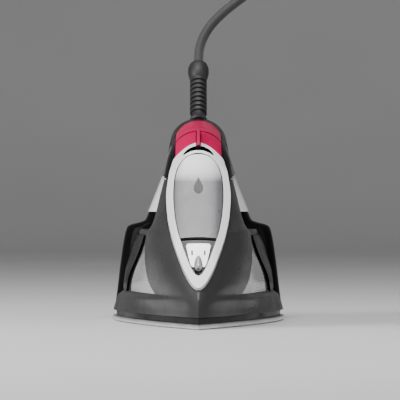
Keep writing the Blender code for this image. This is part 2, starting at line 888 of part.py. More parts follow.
def front_panel():
    rows = front_rows(BEZEL_OPENING, -GAP, None, DOOR_HINGE_Z - 1.2)
    obj = front_plate("front_panel", rows, -0.3, 3.0, PANEL)
    mouth = front_plate("nozzle_mouth", nozzle_bezel_rows(GAP), 5.0, 12.0, PANEL, 4)
    boolean(obj, as_cutter(mouth))
    return boolean(obj, nozzle_bore())


NOZZLE_BEZEL = ((38.6, 4.0), (40.5, 5.2), (46.0, 6.6), (52.0, 7.9), (53.4, 7.2))


def nozzle_bezel_rows(grow):
    rows = [[along_to(z, 1), w + grow] for z, w in NOZZLE_BEZEL]
    rows[0][0] -= grow
    rows[-1][0] += grow
    return rows


NOZZLE_START = (0.0, -96.0, 50.0)
NOZZLE_LEAN = 37.0
NOZZLE_LENGTH = 20.5


def nozzle_turn():
    """Turns +Z to the way the nozzle points, forward and down."""
    return (radians(90.0 + NOZZLE_LEAN), 0.0, 0.0)


def nozzle_bore():
    radius = NOZZLE_RADIUS + GAP
    return as_cutter(
        cylinder("nozzle_bore", radius, -6, 30, NOZZLE_START, SILVER, 16, nozzle_turn())
    )


def nozzle_bezel():
    obj = front_plate("nozzle_bezel", nozzle_bezel_rows(0.0), 1.0, 4.0, SILVER, 6)
    boolean(obj, bpy.data.objects["nozzle_bore"])
    for sign in (1, -1):
        slot = [(sign * 3.6, -2), (sign * 4.6, -2), (sign * 4.6, 2), (sign * 3.6, 2)]
        middle = along_to(47.5, 1)
        outline = [(x, middle + t) for x, t in slot]
        boolean(obj, as_cutter(front_prism(f"nozzle_slot_{sign}", outline, middle, 6, 9, SILVER)))
    return obj


def spray_nozzle():
    r, end = NOZZLE_RADIUS, NOZZLE_LENGTH
    profile = [(0.7, end), (r * 0.6, end), (r * 0.9, end - 0.8), (r, end - 2.0), (r, 0.0)]
    profile += [(0.7, 0.0), (0.7, end)]
    return turned("spray_nozzle", profile, PEARL, 20, NOZZLE_START, nozzle_turn())


def front_empty(name, s, lift):
    """An empty on the front surface, s along it, with X across and Z out of the surface."""
    holder = bpy.data.objects.new(name, None)
    PARTS.objects.link(holder)
    holder.empty_display_size = 0.01
    holder.location = Vector(front_point(0, s, lift)) * MM
    holder.rotation_euler = (spine(s)[2], 0.0, 0.0)
    return holder


def ride_on(obj, holder):
    """Parents a piece to an empty, and leaves it where it is."""
    bpy.context.view_layer.update()
    obj.parent = holder
    obj.matrix_parent_inverse = holder.matrix_world.inverted()


DOOR_PIN_LIFT = -1.3
DOOR_PIN_RADIUS = 0.5
DOOR_PIN_REACH = 13.6


def door_pin_place():
    return along_to(DOOR_HINGE_Z, 1) + 1.3


def hinge_bore():
    """The hole for the hinge pin, across the door and into both sides of the bezel."""
    _, y, z = front_point(0, door_pin_place(), DOOR_PIN_LIFT)
    radius, reach = DOOR_PIN_RADIUS + GAP, DOOR_PIN_REACH + GAP
    bore = cylinder("hinge_bore", radius, -reach, reach, (0, y, z), STEEL, 12, (0.0, pi / 2, 0.0))
    return as_cutter(bore)


def fill_door():
    rows = front_rows(BEZEL_OPENING, -SEAM, DOOR_HINGE_Z)
    obj = front_plate("fill_door", rows, DOOR_LIFT, DOOR_THICKNESS, DOOR, 10)
    bevel(obj, 0.5, 1, 50)
    boolean(obj, bpy.data.objects["hinge_bore"])
    ride_on(obj, front_empty("fill_door_axis", door_pin_place(), DOOR_PIN_LIFT))
    return obj


def door_hinge_pin():
    _, y, z = front_point(0, door_pin_place(), DOOR_PIN_LIFT)
    pin = [(-DOOR_PIN_REACH, y, z), (DOOR_PIN_REACH, y, z)]
    return tube("door_hinge_pin", pin, DOOR_PIN_RADIUS, STEEL, 2)


def front_tray():
    """The dark tray behind the fill door, with the filler mouth in it."""
    rows = front_rows(BEZEL_OPENING, -GAP, DOOR_HINGE_Z + 4.0, 110.0)
    obj = front_plate("front_tray", rows, -7.4, 1.6, BLACK, 6)
    hole = cylinder("tray_hole", FILLER_RADIUS, 70, 110, FILLER_PLACE, BLACK)
    boolean(obj, as_cutter(hole))
    s = crescent_middle()
    place, turn = front_point(0, s, 0.0), (spine(s)[2], 0.0, 0.0)
    rod_hole = cylinder("tray_rod_hole", 4.2, -16, 0, place, BLACK, 16, turn)
    return boolean(obj, as_cutter(rod_hole))


# ---------------------------------------------------------------- steam lever

LEVER_HALF_WIDTH = 1.6
LEVER_ARM_LIFT = -5.5


def lever_side(pairs):
    """Points on the middle plane, from (height on the front line, lift) pairs, as (y, z)."""
    return [front_point(0.0, along_to(z, 1), lift)[1:] for z, lift in pairs]


def steam_lever():
    low = LEVER_ARM_LIFT
    outline = lever_side(
        [
            (125.2, 1.2),
            (125.8, 2.4),
            (124.6, 3.6),
            (121.0, 4.3),
            (117.0, 4.2),
            (114.8, 3.2),
            (114.8, low),
            (106.0, low),
            (106.0, low - 1.7),
            (115.9, low - 1.7),
            (115.9, 2.1),
            (119.6, 2.1),
            (121.4, 1.2),
        ]
    )
    w = LEVER_HALF_WIDTH
    obj = extruded("steam_lever", outline, -w, w, "X", BLACK)
    ride_on(bevel(obj, 0.3, 1, 50), front_empty("steam_lever_axis", crescent_middle(), 0.0))
    return obj


def steam_lever_insert():
    """The coloured stripe along the lever's fin."""
    outline = lever_side(
        [
            (124.4, 4.0),
            (124.2, 4.6),
            (121.0, 5.2),
            (117.0, 5.1),
            (115.0, 4.4),
            (115.0, 3.9),
            (117.0, 4.5),
            (121.0, 4.6),
        ]
    )
    obj = extruded("steam_lever_insert", outline, -1.1, 1.1, "X", RED)
    ride_on(obj, bpy.data.objects["steam_lever_axis"])
    return obj


def steam_valve_rod():
    """Turned by the lever, it opens the drip valve in the steam chamber."""
    low = LEVER_ARM_LIFT - 1.7 - GAP
    end = low - 20.0
    profile = [(0, low), (3.2, low), (3.2, low - 1.2), (1.8, low - 1.2), (1.8, end), (0, end)]
    obj = turned("steam_valve_rod", profile, STEEL, 16)
    obj.parent = bpy.data.objects["steam_lever_axis"]
    return obj


# ---------------------------------------------------------------- handle

COVER_LIFT = 0.2
COVER_START = 108.6
SPRAY_START = -26.0
STEAM_START = -8.0
INLAY_START = 13.0
INLAY_END = 46.0


def cover_rows(start, stop, round_start=0.0, round_stop=0.0, grow=0.0):
    """Rows of the coloured strip on the handle between two distances, with round ends."""
    count = max(int((stop - start) / 5.0), 3)
    rows = []
    for k in range(count + 1):
        s = start + (stop - start) * k / count
        near = [(stop - s, round_stop), (s - start, round_start)]
        width = INLAY_HALF_WIDTH
        for gap, radius in near:
            if radius and gap < radius:
                width *= sqrt(max(1 - ((radius - gap) / radius) ** 2.2, 0.1))
        rows.append((s, width + grow))
    return rows


def y_to_s(y):
    return along_to(y, 0)


def handle_shell():
    obj = loft("handle_shell", handle_sections(0.0), BLACK)
    boolean(obj, as_cutter(loft("handle_hollow", handle_sections(-HANDLE_WALL, 9.0), BLACK)))
    rows = cover_rows(along_to(COVER_START, 1), y_to_s(INLAY_END), 0, 12.0, SEAM)
    opening = front_plate("cover_opening", rows, 7.0, 7.0 + COVER_THICKNESS + 3.0, BLACK, 10)
    boolean(obj, as_cutter(opening))
    boolean(obj, as_cutter(ball_socket()))
    return boolean(obj, bpy.data.objects["bezel_pocket"])


def front_cover():
    """The fixed coloured nose of the handle, above the crescent."""
    rows = cover_rows(along_to(COVER_START + 0.4, 1), y_to_s(SPRAY_START) - BUTTON_GAP / 2)
    obj = front_plate("front_cover", rows, COVER_LIFT, COVER_THICKNESS, RED, 12)
    boolean(obj, bpy.data.objects["bezel_pocket"])
    return obj


def spray_button():
    rows = cover_rows(y_to_s(SPRAY_START) + BUTTON_GAP / 2, y_to_s(STEAM_START) - BUTTON_GAP / 2)
    return front_plate("spray_button", rows, COVER_LIFT + 0.6, COVER_THICKNESS, RED, 12)


def steam_button():
    rows = cover_rows(y_to_s(STEAM_START) + BUTTON_GAP / 2, y_to_s(INLAY_START) - BUTTON_GAP / 2)
    return front_plate("steam_button", rows, COVER_LIFT + 0.6, COVER_THICKNESS, RED, 12)


def handle_inlay():
    rows = cover_rows(y_to_s(INLAY_START) + BUTTON_GAP / 2, y_to_s(INLAY_END), 0, 12.0)
    return front_plate("handle_inlay", rows, COVER_LIFT, COVER_THICKNESS, RED, 12)


def top_turn():
    return (radians(TOP_ANGLE), 0.0, 0.0)


PUMP_HEIGHT = 12.0
SPRING_HEIGHT = 6.0
PISTON_RADIUS = 2.4


def pump(label, y):
    """A pump barrel, its piston and return spring, under one of the buttons."""
    (_, z), _, _ = spine(y_to_s(y))
    top = COVER_LIFT + 0.6 - COVER_THICKNESS - GAP
    place = (0.0, y, z)
    low = top - SPRING_HEIGHT
    barrel = [(PISTON_RADIUS + GAP, low), (5.5, low), (5.5, low - PUMP_HEIGHT)]
    barrel += [(0, low - PUMP_HEIGHT), (0, low - PUMP_HEIGHT + 1.5)]
    barrel += [(PISTON_RADIUS + GAP, low - PUMP_HEIGHT + 1.5), (PISTON_RADIUS + GAP, low)]
    turned(f"{label}_pump", barrel, BLACK, 20, place, top_turn())
    end = low - PUMP_HEIGHT + 1.5 + BUTTON_TRAVEL + 2.0
    cylinder(f"{label}_piston", PISTON_RADIUS, end, top, place, WHITE, 16, top_turn())
    turns, count = 3.0, 24
    wire = 0.45
    points = []
    for k in range(count + 1):
        turn = 2 * pi * turns * k / count
        height = low + GAP + wire + (SPRING_HEIGHT - 2 * (GAP + wire)) * k / count
        points.append((4.1 * cos(turn), 4.1 * sin(turn), height))
    spring = tube(f"{label}_spring", points, wire, STEEL, 1)
    spring.location = Vector(place) * MM
    spring.rotation_euler = top_turn()


# ---------------------------------------------------------------- dial

DIAL_RING_LOW = DECK_HEIGHT + 0.6 + GAP
DIAL_RING_HEIGHT = 1.2
DIAL_LOW = DIAL_RING_LOW + DIAL_RING_HEIGHT + GAP


def dial_ring():
    profile = [(DIAL_SHAFT_RADIUS + 1.0, DIAL_RING_LOW + DIAL_RING_HEIGHT)]
    profile += [(DIAL_RADIUS + 1.6, DIAL_RING_LOW + DIAL_RING_HEIGHT)]
    profile += [(DIAL_RADIUS + 2.4, DIAL_RING_LOW), (DIAL_SHAFT_RADIUS + 1.0, DIAL_RING_LOW)]
    profile += [profile[0]]
    return turned("dial_ring", profile, SILVER, 48, (0, DIAL_Y, 0))


def fluted(radius, depth, flutes, z, points=54):
    found = []
    for k in range(points):
        turn = 2 * pi * k / points
        r = radius - depth * (0.5 - 0.5 * cos(flutes * turn))
        found.append((r * sin(turn), -r * cos(turn), z))
    return found


def temperature_dial():
    sections = [
        fluted(DIAL_RADIUS - 0.6, 0.0, 18, DIAL_LOW),
        fluted(DIAL_RADIUS, 0.0, 18, DIAL_LOW + 0.6),
        fluted(DIAL_RADIUS - 0.3, 0.0, 18, DIAL_LOW + 3.0),
        fluted(DIAL_RADIUS - 2.4, 1.2, 18, DIAL_LOW + 4.6),
        fluted(DIAL_RADIUS - 3.8, 1.2, 18, DIAL_LOW + DIAL_HEIGHT - 1.4),
        fluted(DIAL_RADIUS - 5.0, 0.0, 18, DIAL_LOW + DIAL_HEIGHT),
    ]
    obj = loft("temperature_dial", sections, GLOSS)
    obj.location = Vector((0, DIAL_Y, 0)) * MM
    return obj


def dial_pointer():
    top = DIAL_LOW + DIAL_HEIGHT + GAP
    outline = [(-1.0, -18.0), (0.0, -20.0), (1.0, -18.0), (1.0, -9.0), (-1.0, -9.0)]
    obj = plate("dial_pointer", outline, top, top + 0.6, WHITE)
    obj.location.y = DIAL_Y * MM
    return obj


def dial_shaft():
    low = CASTING_HIGH + 2 * GAP + 2.0 + 7.0 + GAP
    return cylinder(
        "dial_shaft", DIAL_SHAFT_RADIUS, low, DIAL_LOW - GAP, (0, DIAL_Y, 0), STEEL, 20
    )


def pilot_light_lens():
    low = DIAL_RING_LOW
    profile = [(0, low + 1.8), (2.4, low + 1.5), (3.8, low + 0.6), (3.8, low), (0, low)]
    return turned("pilot_light_lens", profile, LENS, 20, (0, 63, 0))


# ---------------------------------------------------------------- heel


def rear_cover():
    top, low = PILLAR_TOP - GAP, HEEL_FORM[0][0]
    obj = loft("rear_cover", heel_sections(0.0, low, top), GLOSS)
    foot = [(x, y, -2.0) for x, y, _ in heel_section(low, -WALL)]
    hollow = [foot] + heel_sections(-WALL, low, WING_HEIGHT - 5.0)
    for z in (WING_HEIGHT + 3.0, 74.0, 85.0, 97.0):
        hollow.append([(x, y, height - WALL) for x, y, height in heel_section(z, -WALL)])
    mouth = heel_section(PILLAR_TOP, -WALL)
    hollow += [mouth, [(x, y, z + 8.0) for x, y, z in mouth]]
    boolean(obj, as_cutter(loft("heel_hollow", hollow, GLOSS)))
    for pocket in insert_pockets():
        boolean(obj, pocket)
    return obj


INSERT_LOW, INSERT_MIDDLE, INSERT_HIGH = 74.0, 98.6, 110.0
INSERT_REAR = 93.0


def insert_outline(low, high, grow):
    """Front outline of an insert on the pillar's front corner, as (x, z)."""
    inner = [(28.4, INSERT_LOW), (21.8, INSERT_MIDDLE), (18.8, INSERT_HIGH)]

    def inner_at(z):
        return lerp([(b, a) for a, b in inner], z)[0]

    return [
        (inner_at(low) - grow, low - grow),
        (60.0, low - grow),
        (60.0, high + grow),
        (inner_at(high) - grow, high + grow),
    ]


def heel_skin(name, lift, depth, sign, outline, finish):
    """Part of the pillar's skin, between two offsets of its form."""
    obj = loft(name, heel_sections(lift, WING_HEIGHT + 3.0, PILLAR_TOP), finish)
    core = heel_sections(lift - depth, WING_HEIGHT - 3.0, PILLAR_TOP)
    core.append([(x, y, z + 9.0) for x, y, z in core[-1]])
    boolean(obj, as_cutter(loft(name + "_core", core, finish)))
    shape = [(sign * x, z) for x, z in outline]
    keep = as_cutter(extruded(name + "_keep", shape, 60.0, INSERT_REAR, "Y", finish))
    return boolean(obj, keep, "INTERSECT")


def insert_pockets():
    """Hidden solids that clear a pocket in the pillar for each insert and for what is above it."""
    outline = insert_outline(INSERT_LOW, PILLAR_TOP + 3.0, GAP)
    depth = 4.0 + 1.7
    names = {1: "pocket_right", -1: "pocket_left"}
    return [
        as_cutter(heel_skin(name, 4.0, depth, sign, outline, GLOSS)) for sign, name in names.items()
    ]


def pillar_inserts():
    for side, sign in (("left", -1), ("right", 1)):
        outline = insert_outline(INSERT_LOW, INSERT_MIDDLE, 0.0)
        heel_skin(f"rail_insert_{side}", 0.8, 2.2, sign, outline, WHITE)


def under_cover():
    low = HEEL_FORM[0][0] + 0.3
    sections = [heel_section(z, -WALL - GAP) for z in (low, low + 2.4)]
    return loft("under_cover", sections, BLACK)


def heel_feet():
    tilt = atan2(HEEL_BACK_LOW[0] - HEEL_BACK_HIGH[0], HEEL_BACK_HIGH[1] - HEEL_BACK_LOW[1])
    for side, sign in (("left", -1), ("right", 1)):
        bm = bmesh.new()
        bmesh.ops.create_cube(bm, size=1.0)
        bmesh.ops.scale(bm, vec=Vector((16, 2.4, 20)) * MM, verts=bm.verts)
        obj = add(f"heel_foot_{side}", bm_mesh(f"heel_foot_{side}", bm), RUBBER)
        obj.location = Vector((sign * 30.0, heel_back_y(28.0) + 1.2 + GAP + 0.2, 28.0)) * MM
        obj.rotation_euler = (tilt, 0.0, 0.0)
        bevel(obj, 0.7, 2)


def heel_screws():
    tilt = atan2(HEEL_BACK_LOW[0] - HEEL_BACK_HIGH[0], HEEL_BACK_HIGH[1] - HEEL_BACK_LOW[1])
    places = (("upper", 0.0, 92.0), ("lower_left", -22.0, 52.0), ("lower_right", 22.0, 52.0))
    for label, x, z in places:
        profile = [(0, 0.9), (1.5, 0.9), (1.5, 1.7), (2.2, 1.7), (3.1, 0.9), (3.1, 0.0), (0, 0.0)]
        place = (x, heel_back_y(z) + GAP + 0.2, z)
        turned(f"heel_screw_{label}", profile, STEEL, 16, place, (-pi / 2 + tilt, 0.0, 0.0))


# ---------------------------------------------------------------- cord


def guard_turn():
    return (-radians(GUARD_LEAN), 0.0, 0.0)


def ball_socket():
    """The space that the ball turns in, open towards the guard."""
    radius = BALL_RADIUS + 0.5
    profile = [(0, radius + 4.0), (radius, radius + 4.0)]
    for k in range(9):
        turn = pi / 2 * (1 + k / 8)
        profile.append((radius * sin(turn) if k < 8 else 0.0, radius * cos(turn)))
    return turned("ball_socket", profile, BLACK, 28, BALL_CENTRE, guard_turn())


BALL_FLAT = 8.0
GUARD_RIBS = 8
RIB_PITCH = 4.1


def cord_ball():
    flat = acos(BALL_FLAT / BALL_RADIUS)
    profile = [(0, BALL_FLAT)]
    for k in range(9):
        turn = flat + (pi - flat) * k / 8
        profile.append((BALL_RADIUS * sin(turn) if k < 8 else 0.0, BALL_RADIUS * cos(turn)))
    return turned("cord_ball", profile, BLACK, 20, BALL_CENTRE, guard_turn())


def cord_guard():
    """The ribbed strain relief, from the ball out to its flared end."""
    end, base = GUARD_LENGTH, BALL_FLAT + GAP
    profile = [(0, end), (5.4, end), (6.4, end - 1.0), (7.3, end - 4.0), (7.3, end - 8.0)]
    profile += [(6.6, end - 12.0), (5.2, end - 14.0)]
    for k in range(GUARD_RIBS):
        at = end - 15.0 - k * RIB_PITCH
        profile += [(5.9, at), (5.9, at - 2.2), (4.7, at - 2.4), (4.7, at - RIB_PITCH + 0.2)]
    profile += [(5.9, base + 2.2), (6.4, base + 1.2), (5.6, base), (0, base)]
    return turned("cord_guard", profile, RUBBER, 12, BALL_CENTRE, guard_turn())


def guard_end(more=0.0):
    lean = radians(GUARD_LEAN)
    x, y, z = BALL_CENTRE
    reach = GUARD_LENGTH + more
    return (x, y + reach * sin(lean), z + reach * cos(lean))


CORD_ROUTE = (
    (0.0, 145.6, 185.6),
    (1.6, 150.8, 193.6),
    (6.0, 155.0, 203.0),
    (13.5, 157.8, 212.0),
    (24.0, 159.0, 221.0),
    (38.0, 158.0, 231.0),
    (56.0, 153.0, 240.0),
    (75.6, 145.5, 245.5),
    (98.4, 136.0, 246.0),
    (122.4, 127.0, 240.5),
    (142.8, 119.0, 228.5),
    (154.8, 113.0, 208.5),
    (161.8, 109.0, 182.5),
    (165.3, 107.0, 153.0),
    (168.3, 106.0, 122.0),
    (170.8, 105.5, 92.0),
    (175.8, 104.0, 64.0),
    (181.8, 99.0, 40.0),
    (187.8, 88.0, 21.0),
    (192.1, 72.0, 10.0),
    (193.4, 54.0, 6.2),
    (193.4, 36.0, 5.6),
    (193.3, 19.0, 5.6),
    (193.3, 3.0, 5.6),
)
TAIL_ROUTE = ((153.6, 16.0, 19.4), (157.4, 24.0, 19.1), (160.4, 33.0, 18.9))
PLUG_ENTRY = (161.3, 43.0, 18.8)


def smooth_curve(points, per_span):
    """Points on a Catmull-Rom curve through hand-chosen points."""
    ends = [2 * Vector(points[0]) - Vector(points[1])]
    ends += [Vector(p) for p in points]
    ends += [2 * Vector(points[-1]) - Vector(points[-2])]
    found = []
    for a, b, c, d in zip(ends, ends[1:], ends[2:], ends[3:]):
        for k in range(per_span):
            t = k / per_span
            found.append(
                0.5
                * (
                    2 * b
                    + (c - a) * t
                    + (2 * a - 5 * b + 4 * c - d) * t * t
                    + (3 * b - a - 3 * c + d) * t**3
                )
            )
    return found + [ends[-2]]


def power_cord():
    points = [guard_end(GAP)] + list(CORD_ROUTE)
    return tube("power_cord", smooth_curve(points, 2), CORD_DIAMETER / 2, CORD, 2)


def hank_half_width(y, grow):
    """Half the hank's width, y from its middle: narrow at the tie, round at the ends."""
    radius = HANK_RADIUS + grow
    if abs(y) < HANK_REACH:
        waist = HANK_WAIST + grow
        return waist + (radius - waist) * (0.5 - 0.5 * cos(pi * y / HANK_REACH))
    return sqrt(max(radius**2 - (abs(y) - HANK_REACH) ** 2, 0.0))


def cord_hank():
    """The outer shape of the folded length."""
    grow = CORD_DIAMETER * 1.5
    side = []
    for k in range(-8, 9):
        y = HANK_REACH * k / 8
        side.append((hank_half_width(y, grow), y))
    radius = HANK_RADIUS + grow
    ends = [
        (radius * cos(radians(a)), HANK_REACH + radius * sin(radians(a))) for a in range(15, 90, 15)
    ]
    right = [(x, -y) for x, y in reversed(ends)] + side + ends
    outline = [(0.0, -HANK_REACH - radius)] + right + [(0.0, HANK_REACH + radius)]
    outline += [(-x, y) for x, y in reversed(right)]
    x, y = HANK_CENTRE
    outline = [(x + a, y + b) for a, b in outline]
    return plate("cord_hank", outline, HANK_LOW, HANK_LOW + HANK_HEIGHT, CORD)


def cord_tie():
    """A strap round the middle of the hank."""
    x, y = HANK_CENTRE
    width = hank_half_width(0.0, CORD_DIAMETER * 1.5) + 1.2
    low, high = HANK_LOW - 0.6, HANK_LOW + HANK_HEIGHT + 0.6
    wall = 1.2
    frame = [(x - width - wall, low - wall), (x + width + wall, low - wall)]
    frame += [(x + width + wall, high + wall), (x - width - wall, high + wall)]
    obj = extruded("cord_tie", frame, y - 4.0, y + 4.0, "Y", RUBBER)
    hole = [(x - width, low), (x + width, low), (x + width, high), (x - width, high)]
    return boolean(obj, as_cutter(extruded("tie_hole", hole, y - 9.0, y + 9.0, "Y", RUBBER)))


def cord_tail():
    points = list(TAIL_ROUTE) + [(PLUG_ENTRY[0], PLUG_ENTRY[1] - GAP, PLUG_ENTRY[2])]
    return tube("cord_tail", smooth_curve(points, 2), CORD_DIAMETER / 2, CORD, 2)


PLUG_RADIUS = 18.4
PLUG_TAIL = 24.0
PLUG_BODY = 32.0
PIN_LENGTH = 19.0


def plug():
    """A round two-pin earthed plug, lying on its side with its pins away from the cord."""
    turn = (-pi / 2, 0.0, 0.0)
    end = PLUG_TAIL + PLUG_BODY
    profile = [(0, end), (PLUG_RADIUS - 1.0, end), (PLUG_RADIUS, end - 1.0)]
    profile += [(PLUG_RADIUS, end - 9.0), (PLUG_RADIUS - 2.2, end - 11.0)]
    profile += [(PLUG_RADIUS - 3.4, end - 24.0), (12.0, PLUG_TAIL + 1.5), (6.6, PLUG_TAIL - 1.5)]
    profile += [(4.6, 1.0), (4.2, 0.0), (0, 0.0)]
    turned("plug_body", profile, BLACK, 32, PLUG_ENTRY, turn)
    x, y, z = PLUG_ENTRY
    for label, sign in (("left", -1), ("right", 1)):
        pin = [(0, PIN_LENGTH), (1.6, PIN_LENGTH), (2.4, PIN_LENGTH - 1.2), (2.4, 0.0), (0, 0.0)]
        place = (x + sign * 9.5, y + end + GAP, z)
        turned(f"plug_pin_{label}", pin, STEEL, 16, place, turn)


# ---------------------------------------------------------------- assembly

clear_scene()
PARTS = collection("steam_iron")
CUTTERS = collection("cutters", hidden=True)
METAL = material("polished_sole", (0.72, 0.73, 0.74), 0.22, 1.0)
STEEL = material("steel", (0.62, 0.62, 0.63), 0.3, 1.0)
CAST = material("cast_aluminium", (0.5, 0.5, 0.51), 0.55, 1.0)
CERAMIC = material("ceramic", (0.78, 0.74, 0.66), 0.6)
BODY = material("dark_grey_plastic", (0.055, 0.055, 0.058), 0.42)
PANEL = material("panel_grey_plastic", (0.075, 0.075, 0.08), 0.4)
GLOSS = material("gloss_black_plastic", (0.008, 0.008, 0.009), 0.08)
BLACK = material("black_plastic", (0.015, 0.015, 0.016), 0.4)
WHITE = material("white_plastic", (0.8, 0.8, 0.8), 0.25)
PEARL = material("pearl_plastic", (0.5, 0.5, 0.53), 0.3)
SILVER = material("silver_plastic", (0.6, 0.6, 0.62), 0.3, 0.3)
DOOR = material("satin_door", (0.3, 0.3, 0.31), 0.3, 0.4)
RED = material("magenta_red_plastic", (0.68, 0.012, 0.09), 0.3)
WINDOW = material("tank_window", (0.6, 0.6, 0.61), 0.15)
TANK = material("translucent_tank", (0.7, 0.72, 0.74), 0.25)
LENS = material("pilot_lens", (0.8, 0.25, 0.02), 0.15)
RUBBER = material("black_rubber", (0.02, 0.02, 0.02), 0.7)
CORD = material("cord_jacket", (0.02, 0.02, 0.021), 0.6)

soleplate()
heat_shield()
heater_casting()
heating_element()
steam_chamber_cover()
thermostat()
thermal_fuse()
terminal_block()
body_shell()
tank_windows()
side_panels()
water_tank()
filler_neck()
front_bezel()
front_panel()
nozzle_bezel()
spray_nozzle()
fill_door()
door_hinge_pin()
front_tray()
steam_lever()
steam_lever_insert()
steam_valve_rod()
handle_shell()
front_cover()
spray_button()
steam_button()
handle_inlay()
pump("spray", -17.0)
pump("steam", 3.0)
dial_ring()
temperature_dial()
dial_pointer()
dial_shaft()
pilot_light_lens()
rear_cover()
pillar_inserts()
under_cover()
heel_feet()
heel_screws()
cord_ball()
cord_guard()
power_cord()
cord_hank()
cord_tie()
cord_tail()
plug()
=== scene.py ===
"""Steam iron on a pale studio floor: fine shells, finishes, its cord, lights and camera.

Sizes are in millimetres and become metres in each mesh. The camera, the lights, the backdrop
and the heights in the shaders are in metres. +Z is up and the nose points to -Y.
"""

import json
from math import acos, cos, hypot, pi, radians, sin, sqrt, tan

import bmesh
import bpy
from mathutils import Euler, Matrix, Vector

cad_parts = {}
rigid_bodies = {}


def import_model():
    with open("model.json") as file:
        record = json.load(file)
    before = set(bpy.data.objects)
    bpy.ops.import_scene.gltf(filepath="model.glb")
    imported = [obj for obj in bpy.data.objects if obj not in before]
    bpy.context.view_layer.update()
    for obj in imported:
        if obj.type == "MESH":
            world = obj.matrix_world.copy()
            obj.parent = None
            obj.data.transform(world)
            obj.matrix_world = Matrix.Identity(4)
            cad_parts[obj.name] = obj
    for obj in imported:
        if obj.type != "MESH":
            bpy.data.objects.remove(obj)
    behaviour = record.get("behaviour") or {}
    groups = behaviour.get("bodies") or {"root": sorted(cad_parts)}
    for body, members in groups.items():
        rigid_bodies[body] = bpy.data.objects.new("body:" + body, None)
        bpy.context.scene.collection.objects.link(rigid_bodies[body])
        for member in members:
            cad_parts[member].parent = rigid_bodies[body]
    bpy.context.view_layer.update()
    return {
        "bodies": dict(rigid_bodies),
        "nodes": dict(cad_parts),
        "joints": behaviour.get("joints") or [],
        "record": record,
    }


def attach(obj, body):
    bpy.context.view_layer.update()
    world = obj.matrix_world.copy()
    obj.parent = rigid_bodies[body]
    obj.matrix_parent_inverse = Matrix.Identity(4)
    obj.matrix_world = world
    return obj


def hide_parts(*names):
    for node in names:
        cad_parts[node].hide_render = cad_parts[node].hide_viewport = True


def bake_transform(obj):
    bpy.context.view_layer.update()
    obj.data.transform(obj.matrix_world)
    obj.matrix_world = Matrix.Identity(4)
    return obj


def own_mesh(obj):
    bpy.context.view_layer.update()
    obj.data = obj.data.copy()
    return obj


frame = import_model()
NODES = frame["nodes"]
MM = 0.001
SEAM = 0.4  # visible joint line between outer pieces
NOSE_POINTS = 34
LEVEL_PITCH = 1.5  # between the body's sections
FRONT_PITCH = 0.9  # between the rows of a front piece
WELD = 2e-6  # in metres


# ---------------------------------------------------------------- camera

CAMERA_PLACE = (0.0, -2.48, 0.082)  # in metres; it looks level, along +Y
SENSOR_WIDTH = 36.0
FOCAL_LENGTH = 332.7
SIDE_SHIFT = 0.004


def make_camera():
    lens = bpy.data.cameras.new("view")
    lens.sensor_width = SENSOR_WIDTH
    lens.lens = FOCAL_LENGTH
    lens.shift_x = SIDE_SHIFT
    lens.clip_start = 0.1
    lens.clip_end = 20.0
    camera = bpy.data.objects.new("view", lens)
    camera.location = CAMERA_PLACE
    camera.rotation_euler = (pi / 2, 0.0, 0.0)
    bpy.context.scene.collection.objects.link(camera)
    bpy.context.scene.camera = camera


make_camera()


# ---------------------------------------------------------------- shared sums


def slopes(keys, values):
    """Slopes at the keys that keep a smooth curve from swinging past its values."""
    steps = [(b - a) / (q - p) for a, b, p, q in zip(values, values[1:], keys, keys[1:])]
    found = [steps[0]]
    for a, b in zip(steps, steps[1:]):
        found.append(2 * a * b / (a + b) if a * b > 0 else 0.0)
    return found + [steps[-1]]


def read(table, at):
    """Smooth interpolation in rows of (key, value, ...), held at both ends."""
    keys = [row[0] for row in table]
    if at <= keys[0]:
        return table[0][1:]
    if at >= keys[-1]:
        return table[-1][1:]
    i = max(k for k in range(len(keys) - 1) if keys[k] <= at)
    span = keys[i + 1] - keys[i]
    t = (at - keys[i]) / span
    found = []
    for column in zip(*[row[1:] for row in table]):
        m = slopes(keys, column)
        found.append(
            (2 * t**3 - 3 * t**2 + 1) * column[i]
            + (t**3 - 2 * t**2 + t) * span * m[i]
            + (3 * t**2 - 2 * t**3) * column[i + 1]
            + (t**3 - t**2) * span * m[i + 1]
        )
    return tuple(found)


def steps_between(start, stop, pitch):
    count = max(int(abs(stop - start) / pitch + 0.999), 1)
    return [start + (stop - start) * k / count for k in range(count + 1)]


def eased(t):
    t = min(max(t, 0.0), 1.0)
    return t * t * (3 - 2 * t)


def smooth_curve(points, per_span):
    """Points on a Catmull-Rom curve through chosen points."""
    ends = [2 * Vector(points[0]) - Vector(points[1])]
    ends += [Vector(p) for p in points]
    ends += [2 * Vector(points[-1]) - Vector(points[-2])]
    found = []
    for a, b, c, d in zip(ends, ends[1:], ends[2:], ends[3:]):
        for k in range(per_span):
            t = k / per_span
            bow = (2 * a - 5 * b + 4 * c - d) * t * t + (3 * b - a - 3 * c + d) * t**3
            found.append(0.5 * (2 * b + (c - a) * t + bow))
    return found + [ends[-2]]


# ---------------------------------------------------------------- shader groups


